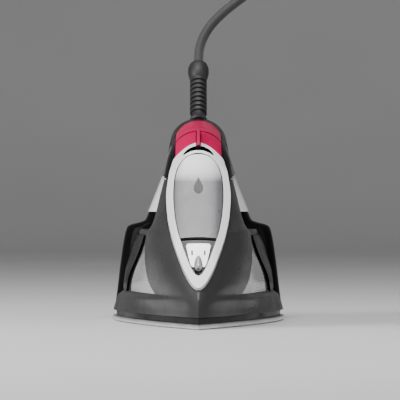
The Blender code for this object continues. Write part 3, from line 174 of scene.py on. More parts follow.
class Nodes:
    """Short words for adding and linking shader nodes."""

    def __init__(self, tree):
        self.tree = tree

    def add(self, kind, **values):
        node = self.tree.nodes.new("ShaderNode" + kind)
        for name, value in values.items():
            setattr(node, name, value)
        return node

    def link(self, source, target):
        self.tree.links.new(source, target)

    def maths(self, operation, a, b=None):
        node = self.add("Math", operation=operation)
        for socket, value in zip(node.inputs, (a, b)):
            if isinstance(value, bpy.types.NodeSocket):
                self.link(value, socket)
            elif value is not None:
                socket.default_value = value
        return node.outputs[0]

    def spread(self, source, low, high, to_low=0.0, to_high=1.0):
        node = self.add("MapRange")
        for name, value in (("From Min", low), ("From Max", high)):
            node.inputs[name].default_value = value
        for name, value in (("To Min", to_low), ("To Max", to_high)):
            if isinstance(value, bpy.types.NodeSocket):
                self.link(value, node.inputs[name])
            else:
                node.inputs[name].default_value = value
        self.link(source, node.inputs["Value"])
        return node.outputs["Result"]

    def noise(self, vector, scale, detail=3.0, rough=0.5):
        node = self.add("TexNoise")
        node.inputs["Detail"].default_value = detail
        node.inputs["Roughness"].default_value = rough
        self.link(vector, node.inputs["Vector"])
        if isinstance(scale, bpy.types.NodeSocket):
            self.link(scale, node.inputs["Scale"])
        else:
            node.inputs["Scale"].default_value = scale
        return node.outputs["Fac"]

    def mix(self, factor, a, b, blend="MIX"):
        node = self.add("Mix", data_type="RGBA", blend_type=blend)
        for name, value in (("Factor", factor), ("A", a), ("B", b)):
            socket = next(s for s in node.inputs if s.name == name and s.enabled)
            if isinstance(value, bpy.types.NodeSocket):
                self.link(value, socket)
            else:
                socket.default_value = value
        return next(s for s in node.outputs if s.enabled)


def shader_group(name, inputs, outputs):
    """A new group of number sockets, as its nodes, what it is given and what it puts out."""
    tree = bpy.data.node_groups.new(name, "ShaderNodeTree")
    for label, value in inputs.items():
        socket = tree.interface.new_socket(label, in_out="INPUT", socket_type="NodeSocketFloat")
        socket.default_value = value
    for label in outputs:
        tree.interface.new_socket(label, in_out="OUTPUT", socket_type="NodeSocketFloat")
    given = tree.nodes.new("NodeGroupInput").outputs
    return Nodes(tree), given, tree.nodes.new("NodeGroupOutput").inputs


def moulding_group():
    """Moulded plastic: spark-eroded grain, slow mottling and handling smudges."""
    inputs = {"Grain Scale": 2600.0, "Mottle Scale": 30.0, "Smudge Scale": 70.0}
    n, given, out = shader_group("moulding", inputs, ("Grain", "Mottle", "Smudge", "Dust"))
    place = n.add("TexCoord").outputs["Object"]
    fine = n.noise(place, given["Grain Scale"], 2.0, 0.6)
    n.link(fine, out["Grain"])
    n.link(n.spread(n.noise(place, given["Mottle Scale"], 4.0), 0.3, 0.7), out["Mottle"])
    smear = n.add("Mapping")
    smear.inputs["Scale"].default_value = (1.0, 0.35, 0.7)
    smear.inputs["Rotation"].default_value = (0.3, 0.5, 0.4)
    n.link(place, smear.inputs["Vector"])
    hand = n.noise(smear.outputs["Vector"], given["Smudge Scale"], 5.0, 0.62)
    n.link(n.spread(hand, 0.42, 0.68), out["Smudge"])
    up = n.add("SeparateXYZ")
    n.link(n.add("NewGeometry").outputs["Normal"], up.inputs[0])
    level = n.spread(up.outputs["Z"], 0.45, 1.0)
    specks = n.spread(n.noise(place, 1500.0, 2.0, 0.7), 0.56, 0.72)
    n.link(n.maths("MULTIPLY", level, specks), out["Dust"])
    return n.tree


def brushing_group():
    """Metal brushed or polished along the iron's length."""
    n, given, out = shader_group("brushing", {"Fineness": 1.0}, ("Scratch", "Streak"))
    place = n.add("TexCoord").outputs["Object"]
    run = n.add("Mapping")
    run.inputs["Scale"].default_value = (1500.0, 26.0, 1500.0)
    n.link(place, run.inputs["Vector"])
    n.link(n.noise(run.outputs["Vector"], given["Fineness"], 3.0, 0.7), out["Scratch"])
    wide = n.add("Mapping")
    wide.inputs["Scale"].default_value = (130.0, 7.0, 130.0)
    n.link(place, wide.inputs["Vector"])
    n.link(n.spread(n.noise(wide.outputs["Vector"], 1.0, 2.0), 0.3, 0.7), out["Streak"])
    return n.tree


def braid_group():
    """A jacket of fine crossing yarns, laid out along the cord by its own map."""
    n, given, out = shader_group("braid", {"Along": 900.0, "Round": 12.0}, ("Yarn", "Fleck"))
    sheet = n.add("SeparateXYZ")
    n.link(n.add("TexCoord").outputs["UV"], sheet.inputs[0])
    along = n.maths("MULTIPLY", sheet.outputs["X"], given["Along"])
    across = n.maths("MULTIPLY", sheet.outputs["Y"], given["Round"])
    left = n.maths("SINE", n.maths("MULTIPLY", n.maths("ADD", along, across), 2 * pi))
    right = n.maths("SINE", n.maths("MULTIPLY", n.maths("SUBTRACT", along, across), 2 * pi))
    n.link(n.spread(n.maths("MULTIPLY", left, right), -1.0, 1.0), out["Yarn"])
    place = n.add("TexCoord").outputs["Object"]
    n.link(n.spread(n.noise(place, 1900.0, 2.0, 0.7), 0.5, 0.75), out["Fleck"])
    return n.tree


MOULDING = moulding_group()
BRUSHING = brushing_group()
BRAID = braid_group()


# ---------------------------------------------------------------- materials


def grey(value):
    return (value, value, value * 1.02)


def place_group(n, tree, **values):
    node = n.add("Group", node_tree=tree)
    for name, value in values.items():
        node.inputs[name.replace("_", " ").title()].default_value = value
    return node.outputs


def start_material(name, **constants):
    material = bpy.data.materials.new(name)
    material.use_nodes = True
    shader = material.node_tree.nodes["Principled BSDF"]
    for label, value in constants.items():
        shader.inputs[label.replace("_", " ").title().replace("Ior", "IOR")].default_value = value
    return material, Nodes(material.node_tree), shader


def bump(n, shader, height, strength, depth):
    node = n.add("Bump")
    node.inputs["Strength"].default_value = strength
    node.inputs["Distance"].default_value = depth
    n.link(height, node.inputs["Height"])
    n.link(node.outputs["Normal"], shader.inputs["Normal"])


def plastic(name, colour, rough, swing=0.06, grain=0.25, depth=0.00004, dust=0.12, tint=1.25, **more):
    """Moulded plastic in one colour, with its grain, mottling, smudges and a little dust."""
    material, n, shader = start_material(name, **more)
    look = place_group(n, MOULDING)
    light = tuple(min(c * tint, 1.0) for c in colour)
    body = n.mix(look["Mottle"], (*colour, 1.0), (*light, 1.0))
    grime = n.maths("MULTIPLY", look["Dust"], dust)
    n.link(n.mix(grime, body, (0.42, 0.4, 0.38, 1.0)), shader.inputs["Base Color"])
    gloss = n.spread(look["Smudge"], 0.0, 1.0, rough - swing, rough + swing)
    n.link(n.maths("ADD", gloss, n.maths("MULTIPLY", look["Dust"], 0.15)), shader.inputs["Roughness"])
    bump(n, shader, look["Grain"], grain, depth)
    return material


def metal(name, colour, rough, scratch=0.25, **more):
    """Bright metal, brushed along Y."""
    material, n, shader = start_material(name, metallic=1.0, **more)
    look = place_group(n, BRUSHING)
    smudge = place_group(n, MOULDING, smudge_scale=45.0)["Smudge"]
    dark = tuple(c * 0.82 for c in colour)
    n.link(n.mix(look["Streak"], (*dark, 1.0), (*colour, 1.0)), shader.inputs["Base Color"])
    streaks = n.spread(look["Scratch"], 0.3, 0.7, rough - 0.07, rough + 0.09)
    n.link(n.maths("ADD", streaks, n.maths("MULTIPLY", smudge, 0.07)), shader.inputs["Roughness"])
    bump(n, shader, look["Scratch"], scratch, 0.00003)
    return material


def door_paint():
    """Satin metallic paint, with flakes that catch the light, and a painted highlight that makes the
    door pale towards its top.
    """
    material, n, shader = start_material("door_paint", metallic=0.7, coat_weight=0.3)
    shader.inputs["Coat Roughness"].default_value = 0.12
    look = place_group(n, MOULDING, mottle_scale=16.0)
    place = n.add("TexCoord").outputs["Object"]
    flake = n.add("TexVoronoi")
    flake.inputs["Scale"].default_value = 3800.0
    n.link(place, flake.inputs["Vector"])
    spark = n.spread(flake.outputs["Distance"], 0.1, 0.6)
    paint = n.mix(spark, (0.15, 0.15, 0.155, 1.0), (0.09, 0.09, 0.095, 1.0))
    tone = n.mix(look["Mottle"], (0.9, 0.9, 0.91, 1.0), (1.0, 1.0, 1.0, 1.0))
    height = n.add("SeparateXYZ")
    n.link(place, height.inputs[0])
    # Painted highlight: the door turns pale and less metallic towards its top, standing in for the
    # overhead light's reflection.
    top = n.spread(height.outputs["Z"], 0.094, 0.107)
    painted_top_highlight = n.mix(top, n.mix(1.0, paint, tone, "MULTIPLY"), (0.86, 0.86, 0.87, 1.0))
    n.link(painted_top_highlight, shader.inputs["Base Color"])
    n.link(n.spread(top, 0.0, 1.0, 0.4, 0.0), shader.inputs["Metallic"])
    n.link(n.spread(look["Smudge"], 0.0, 1.0, 0.26, 0.38), shader.inputs["Roughness"])
    bump(n, shader, look["Grain"], 0.12, 0.00003)
    return material


def window_plastic():
    """Smoky translucent tank wall: paler high up, with fine ribs moulded low down."""
    material, n, shader = start_material("window_plastic", coat_weight=0.6, specular_ior_level=0.6)
    shader.inputs["Coat Roughness"].default_value = 0.05
    look = place_group(n, MOULDING, mottle_scale=22.0)
    place = n.add("SeparateXYZ")
    n.link(n.add("TexCoord").outputs["Object"], place.inputs[0])
    height = n.spread(place.outputs["Z"], 0.018, 0.058)
    shade = n.mix(height, (0.4, 0.405, 0.41, 1.0), (0.6, 0.605, 0.61, 1.0))
    rib = n.maths("SINE", n.maths("MULTIPLY", place.outputs["Z"], 2 * pi / 0.0019))
    low = n.spread(place.outputs["Z"], 0.024, 0.036, 1.0, 0.0)
    ribs = n.maths("MULTIPLY", n.spread(rib, 0.2, 0.9), low)
    dim = n.mix(n.maths("MULTIPLY", ribs, 0.35), shade, (0.3, 0.3, 0.31, 1.0))
    cloud = n.mix(look["Mottle"], (0.88, 0.88, 0.89, 1.0), (1.0, 1.0, 1.0, 1.0))
    n.link(n.mix(1.0, dim, cloud, "MULTIPLY"), shader.inputs["Base Color"])
    n.link(n.spread(look["Smudge"], 0.0, 1.0, 0.14, 0.3), shader.inputs["Roughness"])
    bump(n, shader, n.maths("ADD", ribs, n.maths("MULTIPLY", look["Grain"], 0.1)), 0.3, 0.0002)
    return material


def cord_jacket():
    material, n, shader = start_material("cord_jacket", sheen_weight=0.25, sheen_roughness=0.5)
    yarn = place_group(n, BRAID)
    base = n.mix(yarn["Yarn"], (0.008, 0.008, 0.009, 1.0), (0.035, 0.035, 0.037, 1.0))
    fleck = n.maths("MULTIPLY", yarn["Fleck"], 0.3)
    n.link(n.mix(fleck, base, (0.09, 0.09, 0.092, 1.0)), shader.inputs["Base Color"])
    n.link(n.spread(yarn["Yarn"], 0.0, 1.0, 0.62, 0.42), shader.inputs["Roughness"])
    bump(n, shader, yarn["Yarn"], 0.5, 0.0003)
    return material


def floor_paint():
    material, n, shader = start_material("floor_paint")
    place = n.add("TexCoord").outputs["Object"]
    soft = n.spread(n.noise(place, 3.0, 3.0), 0.3, 0.7)
    n.link(n.mix(soft, (0.7, 0.7, 0.7, 1.0), (0.74, 0.74, 0.74, 1.0)), shader.inputs["Base Color"])
    shader.inputs["Roughness"].default_value = 0.6
    bump(n, shader, n.noise(place, 700.0, 2.0), 0.04, 0.0002)
    return material


FINISHES = {
    "polished_sole": metal("polished_sole", grey(0.9), 0.34, 0.2, anisotropic=0.3),
    "steel": metal("steel_fittings", grey(0.6), 0.3),
    "cast_aluminium": metal("cast_aluminium", grey(0.5), 0.5, 0.6),
    "ceramic": plastic("ceramic", (0.72, 0.68, 0.6), 0.6, tint=1.08, grain=0.5),
    "dark_grey_plastic": plastic(
        "dark_grey_plastic", grey(0.034), 0.34, 0.07, 0.35, 0.00005, 0.05, 1.3, specular_ior_level=0.3
    ),
    "panel_grey_plastic": plastic(
        "panel_grey_plastic", grey(0.05), 0.4, 0.07, 0.3, dust=0.05, specular_ior_level=0.35
    ),
    "gloss_black_plastic": plastic(
        "gloss_black_plastic", grey(0.004), 0.2, 0.05, 0.04, 0.00002, 0.0, 1.5,
        ior=1.1, specular_ior_level=0.5,
    ),
    "black_plastic": plastic(
        "black_plastic", grey(0.006), 0.36, 0.08, 0.5, 0.00006, 0.03, ior=1.2, specular_ior_level=0.4
    ),
    "white_plastic": plastic(
        "white_plastic", grey(0.8), 0.2, 0.06, 0.06, 0.00002, 0.05, 1.05, coat_weight=0.5
    ),
    "rail_grey": plastic("rail_grey", grey(0.12), 0.3, 0.06, 0.1, specular_ior_level=0.4),
    "pearl_plastic": plastic("pearl_plastic", grey(0.45), 0.25, 0.06, 0.1, metallic=0.4),
    "silver_plastic": plastic("silver_plastic", grey(0.62), 0.28, 0.07, 0.15, metallic=0.45),
    "satin_door": door_paint(),
    "magenta_red_plastic": plastic(
        "magenta_red_plastic", (0.46, 0.001, 0.065), 0.36, 0.06, 0.12, 0.00003, 0.0, 1.08,
        specular_ior_level=0.08,
    ),
    "tank_window": window_plastic(),
    "translucent_tank": plastic(
        "translucent_tank", (0.6, 0.63, 0.66), 0.3, tint=1.06, transmission_weight=0.5
    ),
    "pilot_lens": plastic(
        "pilot_lens", (0.75, 0.2, 0.01), 0.12, 0.04, 0.05, coat_weight=0.8, transmission_weight=0.3
    ),
    "black_rubber": plastic("black_rubber", grey(0.016), 0.55, 0.08, 0.5, 0.00008, 0.2),
    "cord_jacket": cord_jacket(),
}


def finish_cad_nodes():
    """Each node takes the finish of its slot; those replaced later are hidden then."""
    for part in frame["record"]["subparts"]:
        obj = NODES[part["node"]]
        obj.data.materials.clear()
        obj.data.materials.append(FINISHES[part["material_slot"]])


finish_cad_nodes()


# ---------------------------------------------------------------- making pieces

MADE = {}
CUTTERS = []


def add(name, mesh, finish):
    obj = bpy.data.objects.new("fine_" + name, mesh)
    mesh.materials.clear()
    mesh.materials.append(FINISHES[finish] if isinstance(finish, str) else finish)
    bpy.context.scene.collection.objects.link(obj)
    MADE[name] = obj
    return obj


def as_cutter(obj):
    CUTTERS.append(obj)
    obj.hide_render = True
    return obj


def boolean(obj, other, operation="DIFFERENCE"):
    modifier = obj.modifiers.new(operation.title(), "BOOLEAN")
    modifier.operation = operation
    modifier.object = other
    return obj


def cut(obj, tool):
    """Takes the shape of a newly made tool out of a piece."""
    return boolean(obj, as_cutter(tool))


def bevel(obj, width, segments=3, angle=40.0):
    modifier = obj.modifiers.new("Bevel", "BEVEL")
    modifier.width = width * MM
    modifier.segments = segments
    modifier.limit_method = "ANGLE"
    modifier.angle_limit = radians(angle)
    return obj


def bm_mesh(name, bm):
    bmesh.ops.recalc_face_normals(bm, faces=bm.faces)
    mesh = bpy.data.meshes.new(name)
    bm.to_mesh(mesh)
    bm.free()
    return mesh


def loft(name, sections, finish):
    """One closed skin over sections of equal length, each a closed loop of points in mm."""
    bm = bmesh.new()
    loops = [[bm.verts.new(Vector(p) * MM) for p in section] for section in sections]
    count = len(loops[0])
    for low, high in zip(loops, loops[1:]):
        for i in range(count):
            j = (i + 1) % count
            bm.faces.new((low[i], low[j], high[j], high[i]))
    bm.faces.new(loops[0])
    bm.faces.new(loops[-1])
    return add(name, bm_mesh(name, bm), finish)


def extruded(name, outline, start, end, axis, finish):
    """A flat outline, as pairs in mm, run from start to end along an axis."""
    order = {"X": (2, 0, 1), "Y": (0, 2, 1), "Z": (0, 1, 2)}[axis]

    def section(at):
        return [tuple((a, b, at)[k] for k in order) for a, b in outline]

    return loft(name, [section(start), section(end)], finish)


def turned(name, profile, finish, steps, place, turn=(0, 0, 0)):
    """A profile of (radius, height) pairs in mm, from the top down, turned about Z."""
    bm = bmesh.new()
    rings = []
    for r, z in profile:
        if r < 1e-6:
            rings.append([bm.verts.new((0.0, 0.0, z * MM))])
            continue
        turns = [2 * pi * k / steps for k in range(steps)]
        rings.append([bm.verts.new((r * cos(a) * MM, r * sin(a) * MM, z * MM)) for a in turns])
    if profile[0] == profile[-1]:
        for vert in rings.pop():
            bm.verts.remove(vert)
        rings.append(rings[0])
    for near, far in zip(rings, rings[1:]):
        for k in range(steps):
            m = (k + 1) % steps
            corners = [near[k % len(near)], near[m % len(near)], far[m % len(far)]]
            corners.append(far[k % len(far)])
            corners = [v for i, v in enumerate(corners) if v not in corners[:i]]
            if len(corners) > 2:
                bm.faces.new(corners)
    obj = add(name, bm_mesh(name, bm), finish)
    obj.location = Vector(place) * MM
    obj.rotation_euler = Euler(turn)
    return obj


def cylinder(name, radius, low, high, place, finish, steps=48, turn=(0, 0, 0)):
    profile = [(0, high), (radius, high), (radius, low), (0, low)]
    return turned(name, profile, finish, steps, place, turn)


def softened(shape, sharp=2.0, gentle=9.0):
    """An outline with each corner rounded off, more where it only turns a little."""
    found = []
    for i, corner in enumerate(shape):
        here = Vector(corner)
        back, on = Vector(shape[i - 1]) - here, Vector(shape[(i + 1) % len(shape)]) - here
        turn = pi - back.angle(on)
        most = gentle if turn < radians(40) else sharp
        a = here + back.normalized() * min(most, back.length * 0.48)
        b = here + on.normalized() * min(most, on.length * 0.48)
        for k in range(7):
            t = k / 6
            found.append(tuple(a * (1 - t) ** 2 + here * 2 * t * (1 - t) + b * t * t))
    return found


SMOOTH_UP_TO = 32.0


def finished(name, body="iron", stands_for_node=True):
    """Applies a piece's cuts, smooths it, and puts it on its body in place of its CAD node."""
    obj = MADE[name]
    bpy.context.view_layer.update()
    graph = bpy.context.evaluated_depsgraph_get()
    mesh = bpy.data.meshes.new_from_object(obj.evaluated_get(graph))
    mesh.transform(obj.matrix_world)
    obj.modifiers.clear()
    obj.data = mesh
    obj.matrix_world = Matrix.Identity(4)
    bm = bmesh.new()
    bm.from_mesh(mesh)
    bmesh.ops.remove_doubles(bm, verts=bm.verts, dist=WELD)
    bmesh.ops.dissolve_degenerate(bm, edges=bm.edges, dist=WELD)
    for face in bm.faces:
        face.smooth = True
    for edge in bm.edges:
        joined = len(edge.link_faces) == 2
        edge.smooth = joined and edge.calc_face_angle(0) < radians(SMOOTH_UP_TO)
    bm.to_mesh(mesh)
    bm.free()
    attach(obj, body)
    if stands_for_node:
        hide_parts(name)
    return obj


# ---------------------------------------------------------------- sizes

GAP = 0.3  # clearance between touching pieces

# Sole
SOLE_NOSE = -140.0
SOLE_REAR = 100.0
SOLE_HALF_WIDTH = 59.0
SOLE_THICKNESS = 3.0
SHIELD_THICKNESS = 3.4
STEAM_HOLE_RADIUS = 1.5

# Body
BODY_REAR = 84.0
SKIRT_HALF_WIDTH = 58.5
DECK_HEIGHT = 62.0
WALL = 3.0
NECK_TOP = 96.0

# Front line: a straight slope, one bend, then the top of the handle
SLOPE_FOOT = (-122.0, 25.0)
SLOPE_ANGLE = 50.5
TOP_ANGLE = 6.5
TOP_POINT = (54.0, 137.0)
BEND_RADIUS = 50.0

# Heel
HEEL_BACK_LOW = (140.0, 12.0)
HEEL_BACK_HIGH = (118.0, 135.0)
PILLAR_TOP = 104.0
WING_HEIGHT = 65.0

# Handle
HANDLE_WALL = 2.6
INLAY_HALF_WIDTH = 15.2
COVER_THICKNESS = 2.4
DOME_HEIGHT = 17.0
DOME_HALF_WIDTH = 17.6
BUTTON_GAP = 1.0

# Front pieces
BEZEL_LIFT = 1.4
BEZEL_DEPTH = 6.5
DOOR_LIFT = 0.9
DOOR_THICKNESS = 2.2
DOOR_HINGE_Z = 57.5
NOZZLE_RADIUS = 2.6

# Dial
DIAL_Y = 19.0
DIAL_RADIUS = 27.0
DIAL_HEIGHT = 13.0
DIAL_SHAFT_RADIUS = 3.5

# Cord
BALL_CENTRE = (0.0, 99.0, 130.0)
BALL_RADIUS = 9.0
CORD_DIAMETER = 7.0
GUARD_LENGTH = 62.0
GUARD_LEAN = 40.0  # from upright towards the rear
HANK_CENTRE = (165.3, -56.0)
HANK_REACH = 38.7  # from its middle to the centre of each end loop
HANK_RADIUS = 21.0  # of the inner turns at the end loops
HANK_WAIST = 5.0  # half-width of the inner turns where the tie pulls them together
HANK_HEIGHT = 21.0
HANK_LOW = 2.0


# ---------------------------------------------------------------- forms


def front_y(z):
    """The straight part of the front line."""
    return SLOPE_FOOT[0] + (z - SLOPE_FOOT[1]) / tan(radians(SLOPE_ANGLE))


def bend():
    """Where the slope ends and the top begins, as (slope length, arc centre)."""
    a, b = radians(SLOPE_ANGLE), radians(TOP_ANGLE)
    y0, z0 = SLOPE_FOOT
    y1, z1 = TOP_POINT
    y = (z1 - z0 + y0 * tan(a) - y1 * tan(b)) / (tan(a) - tan(b))
    tangent = BEND_RADIUS * tan((a - b) / 2)
    length = (y - y0) / cos(a) - tangent
    centre = (
        y0 + length * cos(a) + BEND_RADIUS * sin(a),
        z0 + length * sin(a) - BEND_RADIUS * cos(a),
    )
    return length, centre


def spine(s):
    """Point, outward normal and angle of the front line, s mm along it from its foot."""
    straight, centre = bend()
    a, b = radians(SLOPE_ANGLE), radians(TOP_ANGLE)
    arc = BEND_RADIUS * (a - b)
    angle = a - min(max(s - straight, 0.0) / BEND_RADIUS, a - b)
    normal = (-sin(angle), cos(angle))
    if s <= straight:
        point = (SLOPE_FOOT[0] + s * cos(a), SLOPE_FOOT[1] + s * sin(a))
    else:
        point = (centre[0] + BEND_RADIUS * normal[0], centre[1] + BEND_RADIUS * normal[1])
    if s > straight + arc:
        more = s - straight - arc
        point = (point[0] + more * cos(b), point[1] + more * sin(b))
    return point, normal, angle


def along_to(value, axis):
    """How far along the front line its y (axis 0) or z (axis 1) reaches a value."""
    low, high = -20.0, 320.0
    for _ in range(50):
        middle = (low + high) / 2
        if spine(middle)[0][axis] < value:
            low = middle
        else:
            high = middle
    return low


def crown(x, s):
    """How far the front surface falls away at x from the middle."""
    straight, _ = bend()
    blend = min(max((s - straight + 12.0) / 45.0, 0.0), 1.0)
    slope = 0.008 * x * x
    top = DOME_HEIGHT * (1 - sqrt(1 - min(abs(x) / DOME_HALF_WIDTH, 1.0) ** 2))
    return slope + (top - slope) * blend


def front_point(x, s, lift):
    (y, z), (ny, nz), _ = spine(s)
    out = lift - crown(x, s)
    return (x, y + ny * out, z + nz * out)


def front_plate(name, rows, lift, depth, finish, columns=36):
    """A plate that follows the front surface. Rows are (distance along, half-width)."""
    bm = bmesh.new()
    skins = []
    for level in (lift, lift - depth):
        skins.append(
            [
                [
                    bm.verts.new(Vector(front_point((2 * i / columns - 1) * w, s, level)) * MM)
                    for i in range(columns + 1)
                ]
                for s, w in rows
            ]
        )
    top, under = skins
    for j in range(len(rows) - 1):
        for i in range(columns):
            bm.faces.new((top[j][i], top[j][i + 1], top[j + 1][i + 1], top[j + 1][i]))
            bm.faces.new((under[j][i], under[j + 1][i], under[j + 1][i + 1], under[j][i + 1]))
        for i in (0, columns):
            bm.faces.new((top[j][i], top[j + 1][i], under[j + 1][i], under[j][i]))
    for j in (0, len(rows) - 1):
        for i in range(columns):
            bm.faces.new((top[j][i], top[j][i + 1], under[j][i + 1], under[j][i]))
    return add(name, bm_mesh(name, bm), finish)


def front_prism(name, outline, s, out, deep, finish):
    """An outline of (x, distance along) pairs, run straight through the front at s."""
    (y, z), (ny, nz), angle = spine(s)
    ty, tz = cos(angle), sin(angle)

    def section(level):
        return [
            (x, y + ty * (t - s) + ny * level, z + tz * (t - s) + nz * level) for x, t in outline
        ]

    return loft(name, [section(-deep), section(out)], finish)


def plan(nose, wide, rear, half_width, a, b, z, flare, corner=12.0):
    """A boat-shaped outline at height z: pointed or blunt at the nose, square at the rear."""
    half = []
    for k in range(NOSE_POINTS + 1):
        turn = k / NOSE_POINTS * pi / 2
        y = wide - (wide - nose) * cos(turn) ** (2 / a)
        half.append((half_width * sin(turn) ** (2 / b) if k else 0.0, y))
    start = rear - corner
    half += [(half_width, wide + (start - wide) * k / 12) for k in range(1, 13)]
    half = [(x + flare * eased((y - FLARE_START) / (FLARE_END - FLARE_START)), y) for x, y in half]
    widest = half[-1][0]
    for k in range(1, 9):
        turn = k / 8 * pi / 2
        half.append((widest - corner * (1 - cos(turn)), start + corner * sin(turn)))
    half.append((0.0, rear))
    return [(x, y, z) for x, y in half] + [(-x, y, z) for x, y in reversed(half[1:-1])]


FLARE_START, FLARE_END = -30.0, 74.0
# Height, full-width place, half-width, nose roundness a and b, flare towards the heel
BODY_FORM = (
    (7.0, 67.0, SKIRT_HALF_WIDTH, 1.6, 1.0, 0.0),
    (12.0, 67.0, SKIRT_HALF_WIDTH - 1.4, 1.5, 1.15, 0.0),
    (18.0, 67.0, SKIRT_HALF_WIDTH - 3.9, 1.4, 1.45, 0.0),
    (20.0, 60.0, SKIRT_HALF_WIDTH - 9.5, 1.42, 1.55, 2.2),
    (28.0, 40.0, SKIRT_HALF_WIDTH - 14.0, 1.55, 1.95, 5.6),
    (37.0, 12.0, SKIRT_HALF_WIDTH - 18.3, 1.7, 2.3, 8.2),
    (50.0, -18.0, SKIRT_HALF_WIDTH - 22.3, 1.95, 2.7, 8.4),
    (59.0, -34.0, SKIRT_HALF_WIDTH - 24.0, 2.0, 2.8, 6.4),
)

# Height, half-width
NECK_FORM = ((62.6, 32.6), (65.0, 31.0), (70.0, 29.0), (77.0, 27.2), (86.0, 25.2), (96.0, 22.6))
LOOP_FRONT_LOW = (-38.0, 62.0)
LOOP_FRONT_HIGH = (-16.0, 95.0)
NOSE_INSET = 1.2


def loop_front_y(z):
    (y0, z0), (y1, z1) = LOOP_FRONT_LOW, LOOP_FRONT_HIGH
    return y0 + (z - z0) * (y1 - y0) / (z1 - z0)


def body_section(z, grow):
    wide, half_width, a, b, flare = read(BODY_FORM, z)
    nose = front_y(z) + NOSE_INSET - grow * 1.3
    return plan(nose, wide, BODY_REAR + grow, half_width + grow, a, b, z, flare)


def neck_section(z, grow, at=None):
    (half_width,) = read(NECK_FORM, z)
    nose = front_y(z) + NOSE_INSET - grow * 1.3
    rear = loop_front_y(z) + grow
    wide = nose + (rear - nose) * 0.8
    depth = rear - wide - 1.0
    return plan(nose, wide, rear, half_width + grow, 2.0, 2.6, z if at is None else at, 0.0, depth)


DECK_EDGE_TURNS = (0.4, 0.8, 1.15)  # round the edge from the body's side to its deck


def body_sections(grow, bottom, top):
    """The whole outer form, from the skirt over the deck to the top of the neck."""
    deck = DECK_HEIGHT + grow
    heights = steps_between(bottom + LEVEL_PITCH, BODY_FORM[-1][0], LEVEL_PITCH)
    found = [body_section(bottom, grow)] + [body_section(z, grow) for z in heights]
    inset = plan(
        front_y(deck) + NOSE_INSET - grow * 1.3,
        -42.0,
        BODY_REAR - 1.5 + grow,
        SKIRT_HALF_WIDTH - 25.2 + grow,
        2.0,
        2.8,
        deck,
        6.0,
    )
    edge = found[-1]
    for turn in DECK_EDGE_TURNS:
        ring = []
        for (x0, y0, z0), (x1, y1, z1) in zip(edge, inset):
            t = 1 - cos(turn)
            ring.append((x0 + (x1 - x0) * t, y0 + (y1 - y0) * t, z0 + (z1 - z0) * sin(turn)))
        found.append(ring)
    found.append(inset)
    found.append(neck_section(NECK_FORM[0][0], grow, deck + 0.6))
    found += [neck_section(z, grow) for z in steps_between(deck + 2.0, 94.5, 1.6)]
    found.append(neck_section(top, grow))
    return found


def heel_back_y(z):
    (y0, z0), (y1, z1) = HEEL_BACK_LOW, HEEL_BACK_HIGH
    return y0 + (z - z0) * (y1 - y0) / (z1 - z0)


# Height, front of the heel, half-width, squareness
HEEL_FORM = (
    (7.3, BODY_REAR + SEAM, SKIRT_HALF_WIDTH, 5.0),
    (18.0, BODY_REAR + SEAM, SKIRT_HALF_WIDTH - 1.6, 5.0),
    (40.0, BODY_REAR + SEAM, SKIRT_HALF_WIDTH - 4.3, 5.0),
    (WING_HEIGHT - 5.0, BODY_REAR + SEAM, SKIRT_HALF_WIDTH - 7.6, 4.5),
    (WING_HEIGHT - 0.6, BODY_REAR + SEAM, SKIRT_HALF_WIDTH - 9.6, 4.0),
    (WING_HEIGHT + 1.2, 82.5, 42.5, 3.6),
    (WING_HEIGHT + 3.0, 77.5, 37.4, 3.4),
    (74.0, 75.5, 34.6, 3.2), (85.0, 73.6, 30.0, 3.0), (97.0, 71.8, 25.2, 2.8),
    (PILLAR_TOP, 71.0, 22.6, 2.6),
)


def rounded(half_width, y0, y1, z, power, count=88):
    """A superellipse between y0 and y1 at height z."""
    middle, reach = (y0 + y1) / 2, (y1 - y0) / 2
    points = []
    for k in range(count):
        turn = (k + 0.5) / count * 2 * pi
        c, s = cos(turn), sin(turn)
        x = half_width * abs(s) ** (2 / power) * (1 if s > 0 else -1)
        y = middle - reach * abs(c) ** (2 / power) * (1 if c > 0 else -1)
        points.append((x, y, z))
    return points


def heel_section(z, grow):
    front, half_width, power = read(HEEL_FORM, z)
    return rounded(half_width + grow, front - grow, heel_back_y(z) + grow, z, power)


def heel_sections(grow, bottom, top):
    return [heel_section(z, grow) for z in steps_between(bottom, top, 1.3)]


# Underside point, top point, half-width, waist and squareness, of each station round the handle
HANDLE_FORM = (
    ((-16.0, 96.0), (-63.8, 96.0), 22.7, 0.5, 2.9),
    ((-13.0, 99.0), (-56.3, 104.4), 21.8, 0.5, 2.7),
    ((-7.5, 102.0), (-46.0, 115.3), 20.4, 0.52, 2.4),
    ((0.0, 103.6), (-33.0, 123.6), 18.8, 0.56, 2.15),
    ((12.0, 105.0), (-14.0, 129.2), 17.9, 0.6, 2.05),
    ((28.0, 106.6), (20.0, 133.1), 17.6, 0.62, 2.0),
    ((44.0, 108.2), (50.0, 136.5), 17.6, 0.6, 2.05),
    ((56.0, 109.0), (78.0, 138.2), 17.9, 0.56, 2.2),
    ((64.0, 108.6), (100.0, 137.0), 18.8, 0.52, 2.4),
    ((69.0, 106.8), (116.0, 128.0), 20.4, 0.5, 2.5),
    ((70.7, PILLAR_TOP + 0.4), (123.3, PILLAR_TOP + 0.4), 22.5, 0.5, 2.6),
)


def handle_section(inner, outer, half_width, grow, waist, power, count=72):
    """Two half superellipses across the handle, widest at waist of the way down."""
    (y0, z0), (y1, z1) = inner, outer
    length = hypot(y1 - y0, z1 - z0)
    ty, tz = (y1 - y0) / length, (z1 - z0) / length
    my, mz = y1 - ty * length * waist, z1 - tz * length * waist
    points = []
    for k in range(count):
        turn = (k + 0.5) / count * 2 * pi
        c, s = cos(turn), sin(turn)
        reach = length * (waist if c > 0 else 1 - waist) + grow
        x = (half_width + grow) * abs(s) ** (2 / power) * (1 if s > 0 else -1)
        t = reach * abs(c) ** (2 / power) * (1 if c > 0 else -1)
        points.append((x, my + ty * t, mz + tz * t))
    return points


